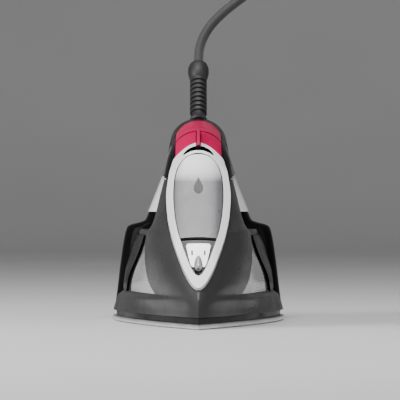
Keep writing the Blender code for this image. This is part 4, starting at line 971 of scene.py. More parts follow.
def handle_sections(grow, overrun=0.0):
    """The handle from the neck round to the rear pillar, run past both ends by overrun."""
    table = [(k, *a, *b, *more) for k, (a, b, *more) in enumerate(HANDLE_FORM)]
    found = []
    for k in range(6 * len(HANDLE_FORM) - 5):
        y0, z0, y1, z1, half_width, waist, power = read(table, k / 6)
        found.append(handle_section((y0, z0), (y1, z1), half_width, grow, waist, power))
    found[0] = [(x, y + GAP * 0.5, z + GAP) for x, y, z in found[0]]
    if overrun:
        found.insert(0, [(x, y, z - overrun) for x, y, z in found[0]])
        found.append([(x, y, z - overrun) for x, y, z in found[-1]])
    return found


# Height, half-width of the bezel's outer edge up the straight slope
BEZEL_EDGE = (
    (25.2, 1.2), (27.0, 3.4), (30.6, 6.0), (37.6, 9.6), (46.0, 12.9), (53.6, 15.6), (62.0, 18.0),
    (74.0, 20.2), (86.0, 21.0), (98.0, 19.6), (106.0, 17.9), (110.5, 16.4), (113.0, 13.6),
    (115.5, 9.9), (117.4, 6.2), (118.6, 2.2),
)

# Height, half-width of the opening inside the bezel
BEZEL_OPENING = (
    (32.8, 0.9), (34.5, 2.9), (37.6, 4.6), (46.0, 8.1), (53.6, 10.8), (62.0, 13.5), (74.0, 15.6),
    (86.0, 16.4), (96.0, 15.8), (102.0, 14.3), (106.0, 12.3), (109.0, 9.6), (111.0, 6.4),
    (112.0, 2.6),
)


def front_rows(table, grow=0.0, low=None, high=None):
    """Rows for a front plate from (height, half-width) pairs, cut off at two heights."""
    low = table[0][0] if low is None else low
    high = table[-1][0] if high is None else high
    heights = steps_between(low, high, FRONT_PITCH)
    rows = [[along_to(z, 1), read(table, z)[0] + grow] for z in heights]
    if low == table[0][0]:
        rows[0][0] -= grow
    if high == table[-1][0]:
        rows[-1][0] += grow
    return rows


def arc_points(radius, start, stop, count, centre):
    """Points round a centre, angles in degrees from straight up, clockwise."""
    found = []
    for k in range(count):
        turn = radians(start + (stop - start) * k / (count - 1))
        found.append((centre[0] + radius * sin(turn), centre[1] + radius * cos(turn)))
    return found


# ---------------------------------------------------------------- base

SOLE_WIDEST = 76.0
NOSE_POWER = 1.6
HOLE_PAIRS, HOLE_FIRST, HOLE_PITCH = 7, -108.0, 24.0


def sole_outline(grow, nose=SOLE_NOSE, rear=SOLE_REAR, count=64):
    """The pointed outline of the sole, closer spaced towards the nose."""
    wide = SOLE_HALF_WIDTH + grow
    half = []
    for k in range(1, count + 1):
        t = (k / count) ** 1.25
        half.append((wide * (1 - (1 - t) ** NOSE_POWER), nose - grow + t * (SOLE_WIDEST - nose + grow)))
    rear += grow
    for k in range(1, 20):
        turn = k / 20 * pi / 2
        y = SOLE_WIDEST + (rear - SOLE_WIDEST) * sqrt(sin(turn))
        half.append((wide * sqrt(cos(turn)), y))
    return [(0.0, nose - grow)] + half + [(0.0, rear)] + [(-x, y) for x, y in reversed(half)]


def steam_hole_places():
    """Two rows of holes that follow the sole's edge, and one at the nose."""
    for k in range(HOLE_PAIRS):
        y = HOLE_FIRST + k * HOLE_PITCH
        along = (y - SOLE_NOSE) / (SOLE_WIDEST - SOLE_NOSE)
        x = 0.62 * SOLE_HALF_WIDTH * (1 - (1 - along) ** NOSE_POWER) + 3.0
        yield (x, y)
        yield (-x, y)
    yield (0.0, HOLE_FIRST - 14.0)


def soleplate():
    low_rim = ((0.0, -0.8), (0.1, -0.4), (0.4, -0.1), (0.8, 0.0))
    rim = low_rim + tuple((SOLE_THICKNESS - z, grow) for z, grow in reversed(low_rim))
    sections = [[(x, y, z) for x, y in sole_outline(grow)] for z, grow in rim]
    obj = loft("soleplate", sections, "polished_sole")
    bm = bmesh.new()
    for x, y in steam_hole_places():
        at = Matrix.Translation(Vector((x, y, SOLE_THICKNESS / 2)) * MM)
        bmesh.ops.create_cone(
            bm,
            cap_ends=True,
            segments=24,
            radius1=STEAM_HOLE_RADIUS * MM,
            radius2=STEAM_HOLE_RADIUS * MM,
            depth=3 * SOLE_THICKNESS * MM,
            matrix=at,
        )
    drills = as_cutter(add("steam_hole_drills", bm_mesh("steam_hole_drills", bm), "polished_sole"))
    return boolean(obj, drills)


SHIELD_LOW = SOLE_THICKNESS + GAP
SHIELD_HIGH = SHIELD_LOW + SHIELD_THICKNESS
CASTING_INSET = 11.0
CASTING_REAR = BODY_REAR - WALL + CASTING_INSET - 1.5


def heat_shield():
    """A black ring that keeps the skirt off the hot sole."""
    obj = extruded("heat_shield", sole_outline(-2.4), SHIELD_LOW, SHIELD_HIGH, "Z", "black_plastic")
    hole = sole_outline(-CASTING_INSET + GAP, SOLE_NOSE + 8.0, CASTING_REAR)
    return cut(obj, extruded("shield_hole", hole, 0.0, 12.0, "Z", "black_plastic"))


# ---------------------------------------------------------------- body


def window_outline(grow=0.0):
    """The tank window seen from the side, as (y, z)."""
    low, top = 20.6, DECK_HEIGHT - 5.0
    shape = [
        (-64.0, low), (18.0, low), (9.0, 32.0), (-3.0, 44.0), (-14.0, 52.0), (-25.0, top),
        (-32.0, top - 2.4), (-38.0, 48.0), (-45.0, 38.0), (-54.0, 28.0),
    ]
    return softened(grown(shape, grow))


def side_panel_outline(grow=0.0):
    """The leaf-shaped side panel seen from the side, as (y, z)."""
    shape = [
        (30.0, 20.6), (46.0, 20.6), (58.0, 28.0), (67.0, 40.0), (74.0, 58.4), (-13.0, 58.4),
        (-6.0, 54.0), (5.0, 46.0), (16.0, 35.0), (24.0, 26.0),
    ]
    return softened(grown(shape, grow))


def grown(shape, grow):
    """An outline moved out by grow along the mean of its edges' normals."""
    if not grow:
        return shape
    count = len(shape)
    area = sum(
        shape[i][0] * shape[(i + 1) % count][1] - shape[(i + 1) % count][0] * shape[i][1]
        for i in range(count)
    )
    side = 1.0 if area > 0 else -1.0
    found = []
    for i in range(count):
        (ax, ay), (bx, by), (cx, cy) = shape[i - 1], shape[i], shape[(i + 1) % count]
        first = Vector((by - ay, ax - bx)).normalized()
        second = Vector((cy - by, bx - cx)).normalized()
        way = (first + second).normalized()
        reach = side * grow / max(way.dot(first), 0.5)
        found.append((bx + way.x * reach, by + way.y * reach))
    return found


def body_form(name, grow, bottom, top, finish):
    return loft(name, body_sections(grow, bottom, top), finish)


def side_prisms(name, outline, inner, outer):
    """The same side outline cut on the left and on the right."""
    made = []
    for sign in (1, -1):
        span = sorted((sign * inner, sign * outer))
        made.append(as_cutter(extruded(f"{name}_{sign}", outline, *span, "X", "dark_grey_plastic")))
    return made


def body_shell():
    obj = body_form("body_shell", 0.0, BODY_FORM[0][0], NECK_TOP - GAP, "dark_grey_plastic")
    hollow = as_cutter(body_form("body_hollow", -WALL, -2.0, NECK_TOP + 6.0, "dark_grey_plastic"))
    boolean(obj, hollow)
    front = front_plate("bezel_pocket", front_rows(BEZEL_EDGE, GAP), 12.0, 24.0, "dark_grey_plastic")
    cut(obj, front)
    for cutter in side_prisms("window_hole", window_outline(GAP), 12.0, 70.0):
        boolean(obj, cutter)
    for cutter in side_prisms("panel_hole", side_panel_outline(GAP), 12.0, 70.0):
        boolean(obj, cutter)
    shaft = cylinder("deck_drill", DIAL_SHAFT_RADIUS + 1.0, 50, 70, (0, DIAL_Y, 0), "dark_grey_plastic")
    cut(obj, shaft)
    return obj


def skin_pieces(name, outline, lift, depth, finish):
    """A piece of the body's skin inside a side outline, one for each side."""
    top = NECK_TOP - 5.0
    for side, sign in (("left", -1), ("right", 1)):
        obj = body_form(f"{name}_{side}", lift, BODY_FORM[0][0], top, finish)
        inner = as_cutter(body_form(f"{name}_inside_{side}", lift - depth, -2.0, top + 9.0, finish))
        span = sorted((sign * 14.0, sign * 75.0))
        keep = as_cutter(extruded(f"{name}_keep_{side}", outline, *span, "X", finish))
        boolean(obj, inner)
        boolean(obj, keep, "INTERSECT")


def tank_windows():
    skin_pieces("tank_window", window_outline(), -0.2, 2.4, "tank_window")


def side_panels():
    skin_pieces("side_panel", side_panel_outline(), 1.3, 3.6, "gloss_black_plastic")


# ---------------------------------------------------------------- front pieces


def front_bezel():
    obj = front_plate("front_bezel", front_rows(BEZEL_EDGE), BEZEL_LIFT, BEZEL_DEPTH, "white_plastic")
    opening = front_plate("bezel_opening", front_rows(BEZEL_OPENING), 9.0, 26.0, "white_plastic")
    cut(obj, opening)
    boolean(obj, crescent_cutter())
    bevel(obj, 0.5, 1, 50)
    return boolean(obj, hinge_bore())


CRESCENT_TOP = 116.6
CRESCENT_FOOT = 113.8
CRESCENT_RADIUS = 11.0


def crescent_middle():
    """Distance along the front line of the crescent's centre, where the lever turns."""
    return along_to(CRESCENT_TOP, 1) - CRESCENT_RADIUS


def crescent_cutter():
    """The arc-shaped slot that the steam lever travels in."""
    middle = crescent_middle()
    outer = arc_points(CRESCENT_RADIUS, -64, 64, 13, (0, middle))
    lower = 15.5
    inner = arc_points(lower, 40, -40, 9, (0, along_to(CRESCENT_FOOT, 1) - lower))
    return as_cutter(front_prism("crescent_slot", outer + inner, middle + 9, 9, 14, "black_plastic"))


def front_panel():
    rows = front_rows(BEZEL_OPENING, -GAP, None, DOOR_HINGE_Z - 1.2)
    obj = front_plate("front_panel", rows, -0.3, 3.0, "panel_grey_plastic")
    mouth = front_plate("nozzle_mouth", nozzle_bezel_rows(GAP), 5.0, 12.0, "panel_grey_plastic")
    cut(obj, mouth)
    return boolean(obj, nozzle_bore())


NOZZLE_BEZEL = ((38.6, 4.0), (40.5, 5.2), (46.0, 6.6), (52.0, 7.9), (53.4, 7.2))


def nozzle_bezel_rows(grow):
    rows = [[along_to(z, 1), w + grow] for z, w in NOZZLE_BEZEL]
    rows[0][0] -= grow
    rows[-1][0] += grow
    return rows


NOZZLE_START = (0.0, -96.0, 50.0)
NOZZLE_LEAN = 37.0
NOZZLE_LENGTH = 20.5


def nozzle_turn():
    """Turns +Z to the way the nozzle points, forward and down."""
    return (radians(90.0 + NOZZLE_LEAN), 0.0, 0.0)


def nozzle_bore():
    radius = NOZZLE_RADIUS + GAP
    return as_cutter(
        cylinder("nozzle_bore", radius, -6, 30, NOZZLE_START, "silver_plastic", 48, nozzle_turn())
    )


def nozzle_bezel():
    obj = front_plate("nozzle_bezel", nozzle_bezel_rows(0.0), 1.0, 4.0, "silver_plastic")
    boolean(obj, MADE["nozzle_bore"])
    for sign in (1, -1):
        corners = [(sign * 3.6, -2), (sign * 4.6, -2), (sign * 4.6, 2), (sign * 3.6, 2)]
        middle = along_to(47.5, 1)
        outline = [(x, middle + t) for x, t in corners]
        slot = front_prism(f"nozzle_slot_{sign}", outline, middle, 6, 9, "silver_plastic")
        cut(obj, slot)
    return obj


def spray_nozzle():
    r, end = NOZZLE_RADIUS, NOZZLE_LENGTH
    profile = [(0.7, end), (r * 0.6, end), (r * 0.9, end - 0.8), (r, end - 2.0), (r, 0.0)]
    profile += [(0.7, 0.0), (0.7, end)]
    return turned("spray_nozzle", profile, "pearl_plastic", 64, NOZZLE_START, nozzle_turn())


DOOR_SEAM = SEAM + 0.2  # so that the open door clears the bezel
DOOR_PIN_LIFT = -1.3
DOOR_PIN_RADIUS = 0.5
DOOR_PIN_REACH = 13.6


def door_pin_place():
    return along_to(DOOR_HINGE_Z, 1) + 1.3


def hinge_bore():
    """The hole for the hinge pin, across the door and into both sides of the bezel."""
    _, y, z = front_point(0, door_pin_place(), DOOR_PIN_LIFT)
    radius, reach = DOOR_PIN_RADIUS + GAP, DOOR_PIN_REACH + GAP
    bore = cylinder("hinge_bore", radius, -reach, reach, (0, y, z), "steel", 32, (0.0, pi / 2, 0.0))
    return as_cutter(bore)


def fill_door():
    rows = front_rows(BEZEL_OPENING, -DOOR_SEAM, DOOR_HINGE_Z)
    obj = front_plate("fill_door", rows, DOOR_LIFT, DOOR_THICKNESS, "satin_door")
    bevel(obj, 0.5, 1, 50)
    boolean(obj, MADE["hinge_bore"])
    return obj


LEVER_HALF_WIDTH = 1.6
LEVER_ARM_LIFT = -5.5


def lever_side(pairs):
    """Points on the middle plane, from (height on the front line, lift) pairs, as (y, z)."""
    return [front_point(0.0, along_to(z, 1), lift)[1:] for z, lift in pairs]


def steam_lever():
    low = LEVER_ARM_LIFT
    outline = lever_side(
        [
            (125.2, 1.2), (125.8, 2.4), (124.6, 3.6), (121.0, 4.3), (117.0, 4.2), (114.8, 3.2),
            (114.8, low), (106.0, low), (106.0, low - 1.7), (115.9, low - 1.7), (115.9, 2.1),
            (119.6, 2.1), (121.4, 1.2),
        ]
    )
    w = LEVER_HALF_WIDTH
    obj = extruded("steam_lever", outline, -w, w, "X", "black_plastic")
    bevel(obj, 0.4, 3, 50)
    return obj


def steam_lever_insert():
    """The coloured stripe along the lever's fin."""
    outline = lever_side(
        [
            (124.4, 4.0), (124.2, 4.6), (121.0, 5.2), (117.0, 5.1), (115.0, 4.4), (115.0, 3.9),
            (117.0, 4.5), (121.0, 4.6),
        ]
    )
    obj = extruded("steam_lever_insert", outline, -1.1, 1.1, "X", "magenta_red_plastic")
    bevel(obj, 0.2, 2, 40)
    return obj


# ---------------------------------------------------------------- handle

COVER_LIFT = 0.2
BUTTON_RISE = 0.6  # of the two buttons over the strip
COVER_START = 108.6
SPRAY_START = -26.0
STEAM_START = -8.0
INLAY_START = 13.0
INLAY_END = 46.0


def cover_rows(start, stop, round_start=0.0, round_stop=0.0, grow=0.0):
    """Rows of the coloured strip on the handle between two distances, with round ends."""
    count = max(int((stop - start) / FRONT_PITCH), 3)
    rows = []
    for k in range(count + 1):
        s = start + (stop - start) * k / count
        near = [(stop - s, round_stop), (s - start, round_start)]
        width = INLAY_HALF_WIDTH
        for gap, radius in near:
            if radius and gap < radius:
                width *= sqrt(max(1 - ((radius - gap) / radius) ** 2.2, 0.1))
        rows.append((s, width + grow))
    return rows


def y_to_s(y):
    return along_to(y, 0)


def handle_shell():
    obj = loft("handle_shell", handle_sections(0.0), "black_plastic")
    cut(obj, loft("handle_hollow", handle_sections(-HANDLE_WALL, 9.0), "black_plastic"))
    rows = cover_rows(along_to(COVER_START, 1), y_to_s(INLAY_END), 0, 12.0, SEAM)
    opening = front_plate("cover_opening", rows, 7.0, 7.0 + COVER_THICKNESS + 3.0, "black_plastic")
    cut(obj, opening)
    cut(obj, ball_socket())
    return boolean(obj, MADE["bezel_pocket"])


def strip_pieces():
    """The coloured strip: its fixed nose above the crescent, two buttons and the inlay."""
    half_gap = BUTTON_GAP / 2
    spray, steam, inlay = [y_to_s(y) for y in (SPRAY_START, STEAM_START, INLAY_START)]
    for name, start, stop, round_stop, rise in (
        ("front_cover", along_to(COVER_START + 0.4, 1), spray - half_gap, 0.0, 0.0),
        ("spray_button", spray + half_gap, steam - half_gap, 0.0, BUTTON_RISE),
        ("steam_button", steam + half_gap, inlay - half_gap, 0.0, BUTTON_RISE),
        ("handle_inlay", inlay + half_gap, y_to_s(INLAY_END), 12.0, 0.0),
    ):
        rows = cover_rows(start, stop, 0.0, round_stop)
        front_plate(name, rows, COVER_LIFT + rise, COVER_THICKNESS, "magenta_red_plastic")
    boolean(MADE["front_cover"], MADE["bezel_pocket"])


# ---------------------------------------------------------------- dial

DIAL_RING_LOW = DECK_HEIGHT + 0.6 + GAP
DIAL_RING_HEIGHT = 1.2
DIAL_LOW = DIAL_RING_LOW + DIAL_RING_HEIGHT + GAP


def dial_ring():
    profile = [(DIAL_SHAFT_RADIUS + 1.0, DIAL_RING_LOW + DIAL_RING_HEIGHT)]
    profile += [(DIAL_RADIUS + 1.6, DIAL_RING_LOW + DIAL_RING_HEIGHT)]
    profile += [(DIAL_RADIUS + 2.4, DIAL_RING_LOW), (DIAL_SHAFT_RADIUS + 1.0, DIAL_RING_LOW)]
    profile += [profile[0]]
    return turned("dial_ring", profile, "silver_plastic", 128, (0, DIAL_Y, 0))


def fluted(radius, depth, flutes, z, points=216):
    found = []
    for k in range(points):
        turn = 2 * pi * k / points
        r = radius - depth * (0.5 - 0.5 * cos(flutes * turn))
        found.append((r * sin(turn), -r * cos(turn), z))
    return found


def temperature_dial():
    sections = [
        fluted(DIAL_RADIUS - 0.6, 0.0, 18, DIAL_LOW),
        fluted(DIAL_RADIUS, 0.0, 18, DIAL_LOW + 0.6),
        fluted(DIAL_RADIUS - 0.3, 0.0, 18, DIAL_LOW + 3.0),
        fluted(DIAL_RADIUS - 2.4, 1.2, 18, DIAL_LOW + 4.6),
        fluted(DIAL_RADIUS - 3.8, 1.2, 18, DIAL_LOW + DIAL_HEIGHT - 1.4),
        fluted(DIAL_RADIUS - 5.0, 0.0, 18, DIAL_LOW + DIAL_HEIGHT),
    ]
    obj = loft("temperature_dial", sections, "gloss_black_plastic")
    obj.location = Vector((0, DIAL_Y, 0)) * MM
    return obj


def pilot_light_lens():
    low = DIAL_RING_LOW
    profile = [(0, low + 1.8), (2.4, low + 1.5), (3.8, low + 0.6), (3.8, low), (0, low)]
    return turned("pilot_light_lens", profile, "pilot_lens", 48, (0, 63, 0))


# ---------------------------------------------------------------- heel


def rear_cover():
    top, low = PILLAR_TOP - GAP, HEEL_FORM[0][0]
    obj = loft("rear_cover", heel_sections(0.0, low, top), "gloss_black_plastic")
    foot = [(x, y, -2.0) for x, y, _ in heel_section(low, -WALL)]
    hollow = [foot] + heel_sections(-WALL, low, WING_HEIGHT - 5.0)
    for z in (WING_HEIGHT + 3.0, 74.0, 85.0, 97.0):
        hollow.append([(x, y, height - WALL) for x, y, height in heel_section(z, -WALL)])
    mouth = heel_section(PILLAR_TOP, -WALL)
    hollow += [mouth, [(x, y, z + 8.0) for x, y, z in mouth]]
    cut(obj, loft("heel_hollow", hollow, "gloss_black_plastic"))
    for pocket in insert_pockets():
        boolean(obj, pocket)
    return obj


INSERT_LOW, INSERT_MIDDLE, INSERT_HIGH = 74.0, 98.6, 110.0
INSERT_REAR = 93.0


def insert_outline(low, high, grow):
    """Front outline of an insert on the pillar's front corner, as (x, z)."""
    inner = [(28.4, INSERT_LOW), (21.8, INSERT_MIDDLE), (18.8, INSERT_HIGH)]

    def inner_at(z):
        return read([(b, a) for a, b in inner], z)[0]

    return [
        (inner_at(low) - grow, low - grow),
        (60.0, low - grow),
        (60.0, high + grow),
        (inner_at(high) - grow, high + grow),
    ]


def heel_skin(name, lift, depth, sign, outline, finish):
    """Part of the pillar's skin, between two offsets of its form."""
    obj = loft(name, heel_sections(lift, WING_HEIGHT + 3.0, PILLAR_TOP), finish)
    core = heel_sections(lift - depth, WING_HEIGHT - 3.0, PILLAR_TOP)
    core.append([(x, y, z + 9.0) for x, y, z in core[-1]])
    cut(obj, loft(name + "_core", core, finish))
    shape = [(sign * x, z) for x, z in outline]
    keep = as_cutter(extruded(name + "_keep", shape, 60.0, INSERT_REAR, "Y", finish))
    return boolean(obj, keep, "INTERSECT")


def insert_pockets():
    """Hidden solids that clear a pocket in the pillar for each insert and for what is above it."""
    outline = insert_outline(INSERT_LOW, PILLAR_TOP + 3.0, GAP)
    depth = 4.0 + 1.7
    names = {1: "pocket_right", -1: "pocket_left"}
    return [
        as_cutter(heel_skin(name, 4.0, depth, sign, outline, "gloss_black_plastic"))
        for sign, name in names.items()
    ]


def pillar_inserts():
    for side, sign in (("left", -1), ("right", 1)):
        outline = insert_outline(INSERT_LOW, INSERT_MIDDLE, 0.0)
        heel_skin(f"rail_insert_{side}", 0.8, 2.2, sign, outline, "white_plastic")


# ---------------------------------------------------------------- cord end


def guard_turn():
    return (-radians(GUARD_LEAN), 0.0, 0.0)


def ball_socket():
    """The space that the ball turns in, open towards the guard."""
    radius = BALL_RADIUS + 0.5
    profile = [(0, radius + 4.0), (radius, radius + 4.0)]
    for k in range(9):
        turn = pi / 2 * (1 + k / 8)
        profile.append((radius * sin(turn) if k < 8 else 0.0, radius * cos(turn)))
    return turned("ball_socket", profile, "black_plastic", 64, BALL_CENTRE, guard_turn())


BALL_FLAT = 8.0
GUARD_RIBS = 8
RIB_PITCH = 4.1


def cord_ball():
    flat = acos(BALL_FLAT / BALL_RADIUS)
    profile = [(0, BALL_FLAT)]
    for k in range(9):
        turn = flat + (pi - flat) * k / 8
        profile.append((BALL_RADIUS * sin(turn) if k < 8 else 0.0, BALL_RADIUS * cos(turn)))
    return turned("cord_ball", profile, "black_plastic", 64, BALL_CENTRE, guard_turn())


def cord_guard():
    """The ribbed strain relief, from the ball out to its flared end."""
    end, base = GUARD_LENGTH, BALL_FLAT + GAP
    profile = [(0, end), (5.4, end), (6.4, end - 1.0), (7.3, end - 4.0), (7.3, end - 8.0)]
    profile += [(6.6, end - 12.0), (5.2, end - 14.0)]
    for k in range(GUARD_RIBS):
        at = end - 15.0 - k * RIB_PITCH
        profile += [(5.9, at), (5.9, at - 2.2), (4.7, at - 2.4), (4.7, at - RIB_PITCH + 0.2)]
    profile += [(5.9, base + 2.2), (6.4, base + 1.2), (5.6, base), (0, base)]
    return turned("cord_guard", profile, "black_rubber", 96, BALL_CENTRE, guard_turn())


def guard_end(more):
    lean = radians(GUARD_LEAN)
    x, y, z = BALL_CENTRE
    reach = GUARD_LENGTH + more
    return (x, y + reach * sin(lean), z + reach * cos(lean))


CORD_ROUTE = (
    (0.0, 145.6, 185.6), (1.6, 150.8, 193.6), (6.0, 155.0, 203.0), (13.5, 157.8, 212.0),
    (24.0, 159.0, 221.0), (38.0, 158.0, 231.0), (56.0, 153.0, 240.0), (75.6, 145.5, 245.5),
    (98.4, 136.0, 246.0), (122.4, 127.0, 240.5), (142.8, 119.0, 228.5), (154.8, 113.0, 208.5),
    (161.8, 109.0, 182.5), (165.3, 107.0, 153.0), (168.3, 106.0, 122.0), (170.8, 105.5, 92.0),
    (175.8, 104.0, 64.0), (181.8, 99.0, 40.0), (187.8, 88.0, 21.0), (192.1, 72.0, 10.0),
    (193.4, 54.0, 6.2), (193.4, 36.0, 5.6), (193.3, 19.0, 5.6), (193.3, 3.0, 5.6),
)

TAIL_ROUTE = ((153.6, 16.0, 19.4), (157.4, 24.0, 19.1), (160.4, 33.0, 18.9))
PLUG_ENTRY = (161.3, 43.0, 18.8)


def hank_half_width(y, grow):
    """Half the hank's width, y from its middle: narrow at the tie, round at the ends."""
    radius = HANK_RADIUS + grow
    if abs(y) < HANK_REACH:
        waist = HANK_WAIST + grow
        return waist + (radius - waist) * (0.5 - 0.5 * cos(pi * y / HANK_REACH))
    return sqrt(max(radius**2 - (abs(y) - HANK_REACH) ** 2, 0.0))


def cord_tie():
    """A strap round the middle of the hank."""
    x, y = HANK_CENTRE
    width = hank_half_width(0.0, CORD_DIAMETER * 1.5) + 1.2
    low, high = HANK_LOW - 0.6, HANK_LOW + HANK_HEIGHT + 0.6
    wall = 1.2
    frame = [(x - width - wall, low - wall), (x + width + wall, low - wall)]
    frame += [(x + width + wall, high + wall), (x - width - wall, high + wall)]
    obj = extruded("cord_tie", frame, y - 4.0, y + 4.0, "Y", "black_rubber")
    hole = [(x - width, low), (x + width, low), (x + width, high), (x - width, high)]
    return cut(obj, extruded("tie_hole", hole, y - 9.0, y + 9.0, "Y", "black_rubber"))


PLUG_RADIUS = 18.4
PLUG_TAIL = 24.0
PLUG_BODY = 32.0
PIN_LENGTH = 19.0


def plug():
    """A round two-pin earthed plug, lying on its side with its pins away from the cord."""
    turn = (-pi / 2, 0.0, 0.0)
    end = PLUG_TAIL + PLUG_BODY
    profile = [(0, end), (PLUG_RADIUS - 1.0, end), (PLUG_RADIUS, end - 1.0)]
    profile += [(PLUG_RADIUS, end - 9.0), (PLUG_RADIUS - 2.2, end - 11.0)]
    profile += [(PLUG_RADIUS - 3.4, end - 24.0), (12.0, PLUG_TAIL + 1.5), (6.6, PLUG_TAIL - 1.5)]
    profile += [(4.6, 1.0), (4.2, 0.0), (0, 0.0)]
    turned("plug_body", profile, "black_plastic", 96, PLUG_ENTRY, turn)
    x, y, z = PLUG_ENTRY
    for label, sign in (("left", -1), ("right", 1)):
        pin = [(0, PIN_LENGTH), (1.6, PIN_LENGTH), (2.4, PIN_LENGTH - 1.2), (2.4, 0.0), (0, 0.0)]
        place = (x + sign * 9.5, y + end + GAP, z)
        turned(f"plug_pin_{label}", pin, "steel", 32, place, turn)


# ---------------------------------------------------------------- cord

TURNS = 4.75  # of the hank
FIRST_TURN = -0.001
STEPS_PER_TURN = 120
JOIN_OFFSET = 46.0  # the incoming cord stops this far from the hank's middle, along Y
JOIN_SKIPS = 5  # points of the first turn left out where the cord comes in
CORD_PITCH = 2.5
SMOOTHINGS = 6
# Turns between which the cord moves to the inner or outer ring, or up a layer
TO_INNER = ((0.8, 1.0), (3.05, 3.3))
TO_OUTER = ((2.3, 2.55), (3.8, 4.05))
TO_NEXT_LAYER = ((1.55, 1.8), (3.05, 3.3))


def ring_at(turns):
    """1 on the outer ring of the hank and 0 on the inner one."""
    ring = 1.0
    for start, stop in TO_INNER:
        ring -= eased((turns - start) / (stop - start))
    for start, stop in TO_OUTER:
        ring += eased((turns - start) / (stop - start))
    return ring


def hank_side(along, grow):
    """Point on one ring of the hank, along mm round it from the middle of its right side."""
    radius = HANK_RADIUS + grow
    arc, straight = pi * radius, 2 * HANK_REACH
    if along < HANK_REACH:
        return hank_half_width(-along, grow), -along
    along -= HANK_REACH
    if along < arc:
        turn = along / radius
        return radius * cos(turn), -HANK_REACH - radius * sin(turn)
    along -= arc
    if along < straight:
        y = along - HANK_REACH
        return -hank_half_width(y, grow), y
    along -= straight
    if along < arc:
        turn = along / radius
        return -radius * cos(turn), HANK_REACH + radius * sin(turn)
    y = HANK_REACH - (along - arc)
    return hank_half_width(y, grow), y


def hank_route():
    """The folded length: two rings side by side in three layers, from its right side."""
    middle_x, middle_y = HANK_CENTRE
    found = []
    for k in range(int(TURNS * STEPS_PER_TURN) + 1):
        turns = FIRST_TURN + k / STEPS_PER_TURN
        grow = CORD_DIAMETER * ring_at(turns)
        whole = 2 * pi * (HANK_RADIUS + grow) + 4 * HANK_REACH
        x, y = hank_side(turns % 1.0 * whole, grow)
        layer = sum(eased((turns - start) / (stop - start)) for start, stop in TO_NEXT_LAYER)
        z = HANK_LOW + CORD_DIAMETER * (0.5 + layer)
        found.append(Vector((middle_x + x, middle_y + y, z)))
    return found[JOIN_SKIPS:]


def evenly(points, pitch):
    """The same line with points every pitch along it, a little smoothed."""
    found, left = [points[0]], pitch
    for a, b in zip(points, points[1:]):
        span = (b - a).length
        at = left
        while at <= span:
            found.append(a + (b - a) * at / span)
            at += pitch
        left = at - span
    found.append(points[-1])
    for _ in range(SMOOTHINGS):
        middle = [(a + b * 2 + c) / 4 for a, b, c in zip(found, found[1:], found[2:])]
        found = [found[0]] + middle + [found[-1]]
    return found


def cord_route():
    """The whole cord's centreline, from inside the guard, by the hank, to the plug."""
    hank_start = HANK_CENTRE[1] + JOIN_OFFSET
    down = smooth_curve([guard_end(-3.0), guard_end(0.3)] + list(CORD_ROUTE), 8)
    joined = [p for p in down if p.y > hank_start]
    hank = hank_route()
    into_plug = (PLUG_ENTRY[0], PLUG_ENTRY[1] + 4.0, PLUG_ENTRY[2])
    tail = smooth_curve([hank[-1], *TAIL_ROUTE, into_plug], 8)
    return [p * MM for p in evenly(joined + hank + tail[1:], CORD_PITCH)]


def cord_mesh(route, radius, sides=16):
    """A tube round the route, laid out along it for the jacket, and the tube's length."""
    bm = bmesh.new()
    sheet = bm.loops.layers.uv.new("along")
    side = Vector((1.0, 0.0, 0.0))
    rings, walked = [], [0.0]
    for i, here in enumerate(route):
        way = (route[min(i + 1, len(route) - 1)] - route[max(i - 1, 0)]).normalized()
        side = (side - way * side.dot(way)).normalized()
        up = way.cross(side)
        if i:
            walked.append(walked[-1] + (here - route[i - 1]).length)
        turns = [2 * pi * k / sides for k in range(sides)]
        rings.append([bm.verts.new(here + (side * cos(a) + up * sin(a)) * radius) for a in turns])
    for i, (near, far) in enumerate(zip(rings, rings[1:])):
        for k in range(sides):
            m = (k + 1) % sides
            face = bm.faces.new((near[k], near[m], far[m], far[k]))
            face.smooth = True
            corners = ((i, k), (i, k + 1), (i + 1, k + 1), (i + 1, k))
            for loop, (row, column) in zip(face.loops, corners):
                loop[sheet].uv = (walked[row], column / sides)
    bm.faces.new(rings[0])
    bm.faces.new(rings[-1])
    return bm_mesh("cord", bm), walked[-1]


def make_cord(with_pieces):
    """The cord as one piece, joined to the guard at one end and to the plug at the other."""
    route = cord_route()
    mesh, length = cord_mesh(route, CORD_DIAMETER / 2 * MM)
    obj = add("cord", mesh, "cord_jacket")
    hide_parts("power_cord", "cord_hank", "cord_tail")
    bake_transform(obj)


# ---------------------------------------------------------------- small additions


def drop_mark():
    """A plain drop printed on the fill door."""
    lower = ((85.6, 0.4), (86.6, 2.0), (88.2, 3.0), (90.2, 3.1))
    upper = ((92.4, 2.1), (94.6, 0.9), (96.0, 0.3))
    rows = front_rows(lower + upper)
    return front_plate("drop_mark", rows, DOOR_LIFT + 0.12, 0.3, "panel_grey_plastic", 12)


def blacken_bands():
    """Gives the body's skin behind each window the gloss black of the side panels."""
    obj = MADE["body_shell"]
    obj.data.materials.append(FINISHES["gloss_black_plastic"])
    edge = ((20.0, 18.5), (32.0, 9.0), (44.0, -3.0), (52.0, -14.0), (58.6, -28.0))
    low, high, inner = 20.4, 58.6, 12
    for face in obj.data.polygons:
        x, y, z = face.center / MM
        if low < z < high and abs(x) > inner and y > read(edge, z)[0] - 0.2:
            face.material_index = 1


def squash_springs():
    """Gives each pump spring its own copy of its mesh."""
    for label, y in (("spray", -17.0), ("steam", 3.0)):
        spring = NODES[label + "_spring"]
        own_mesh(spring)


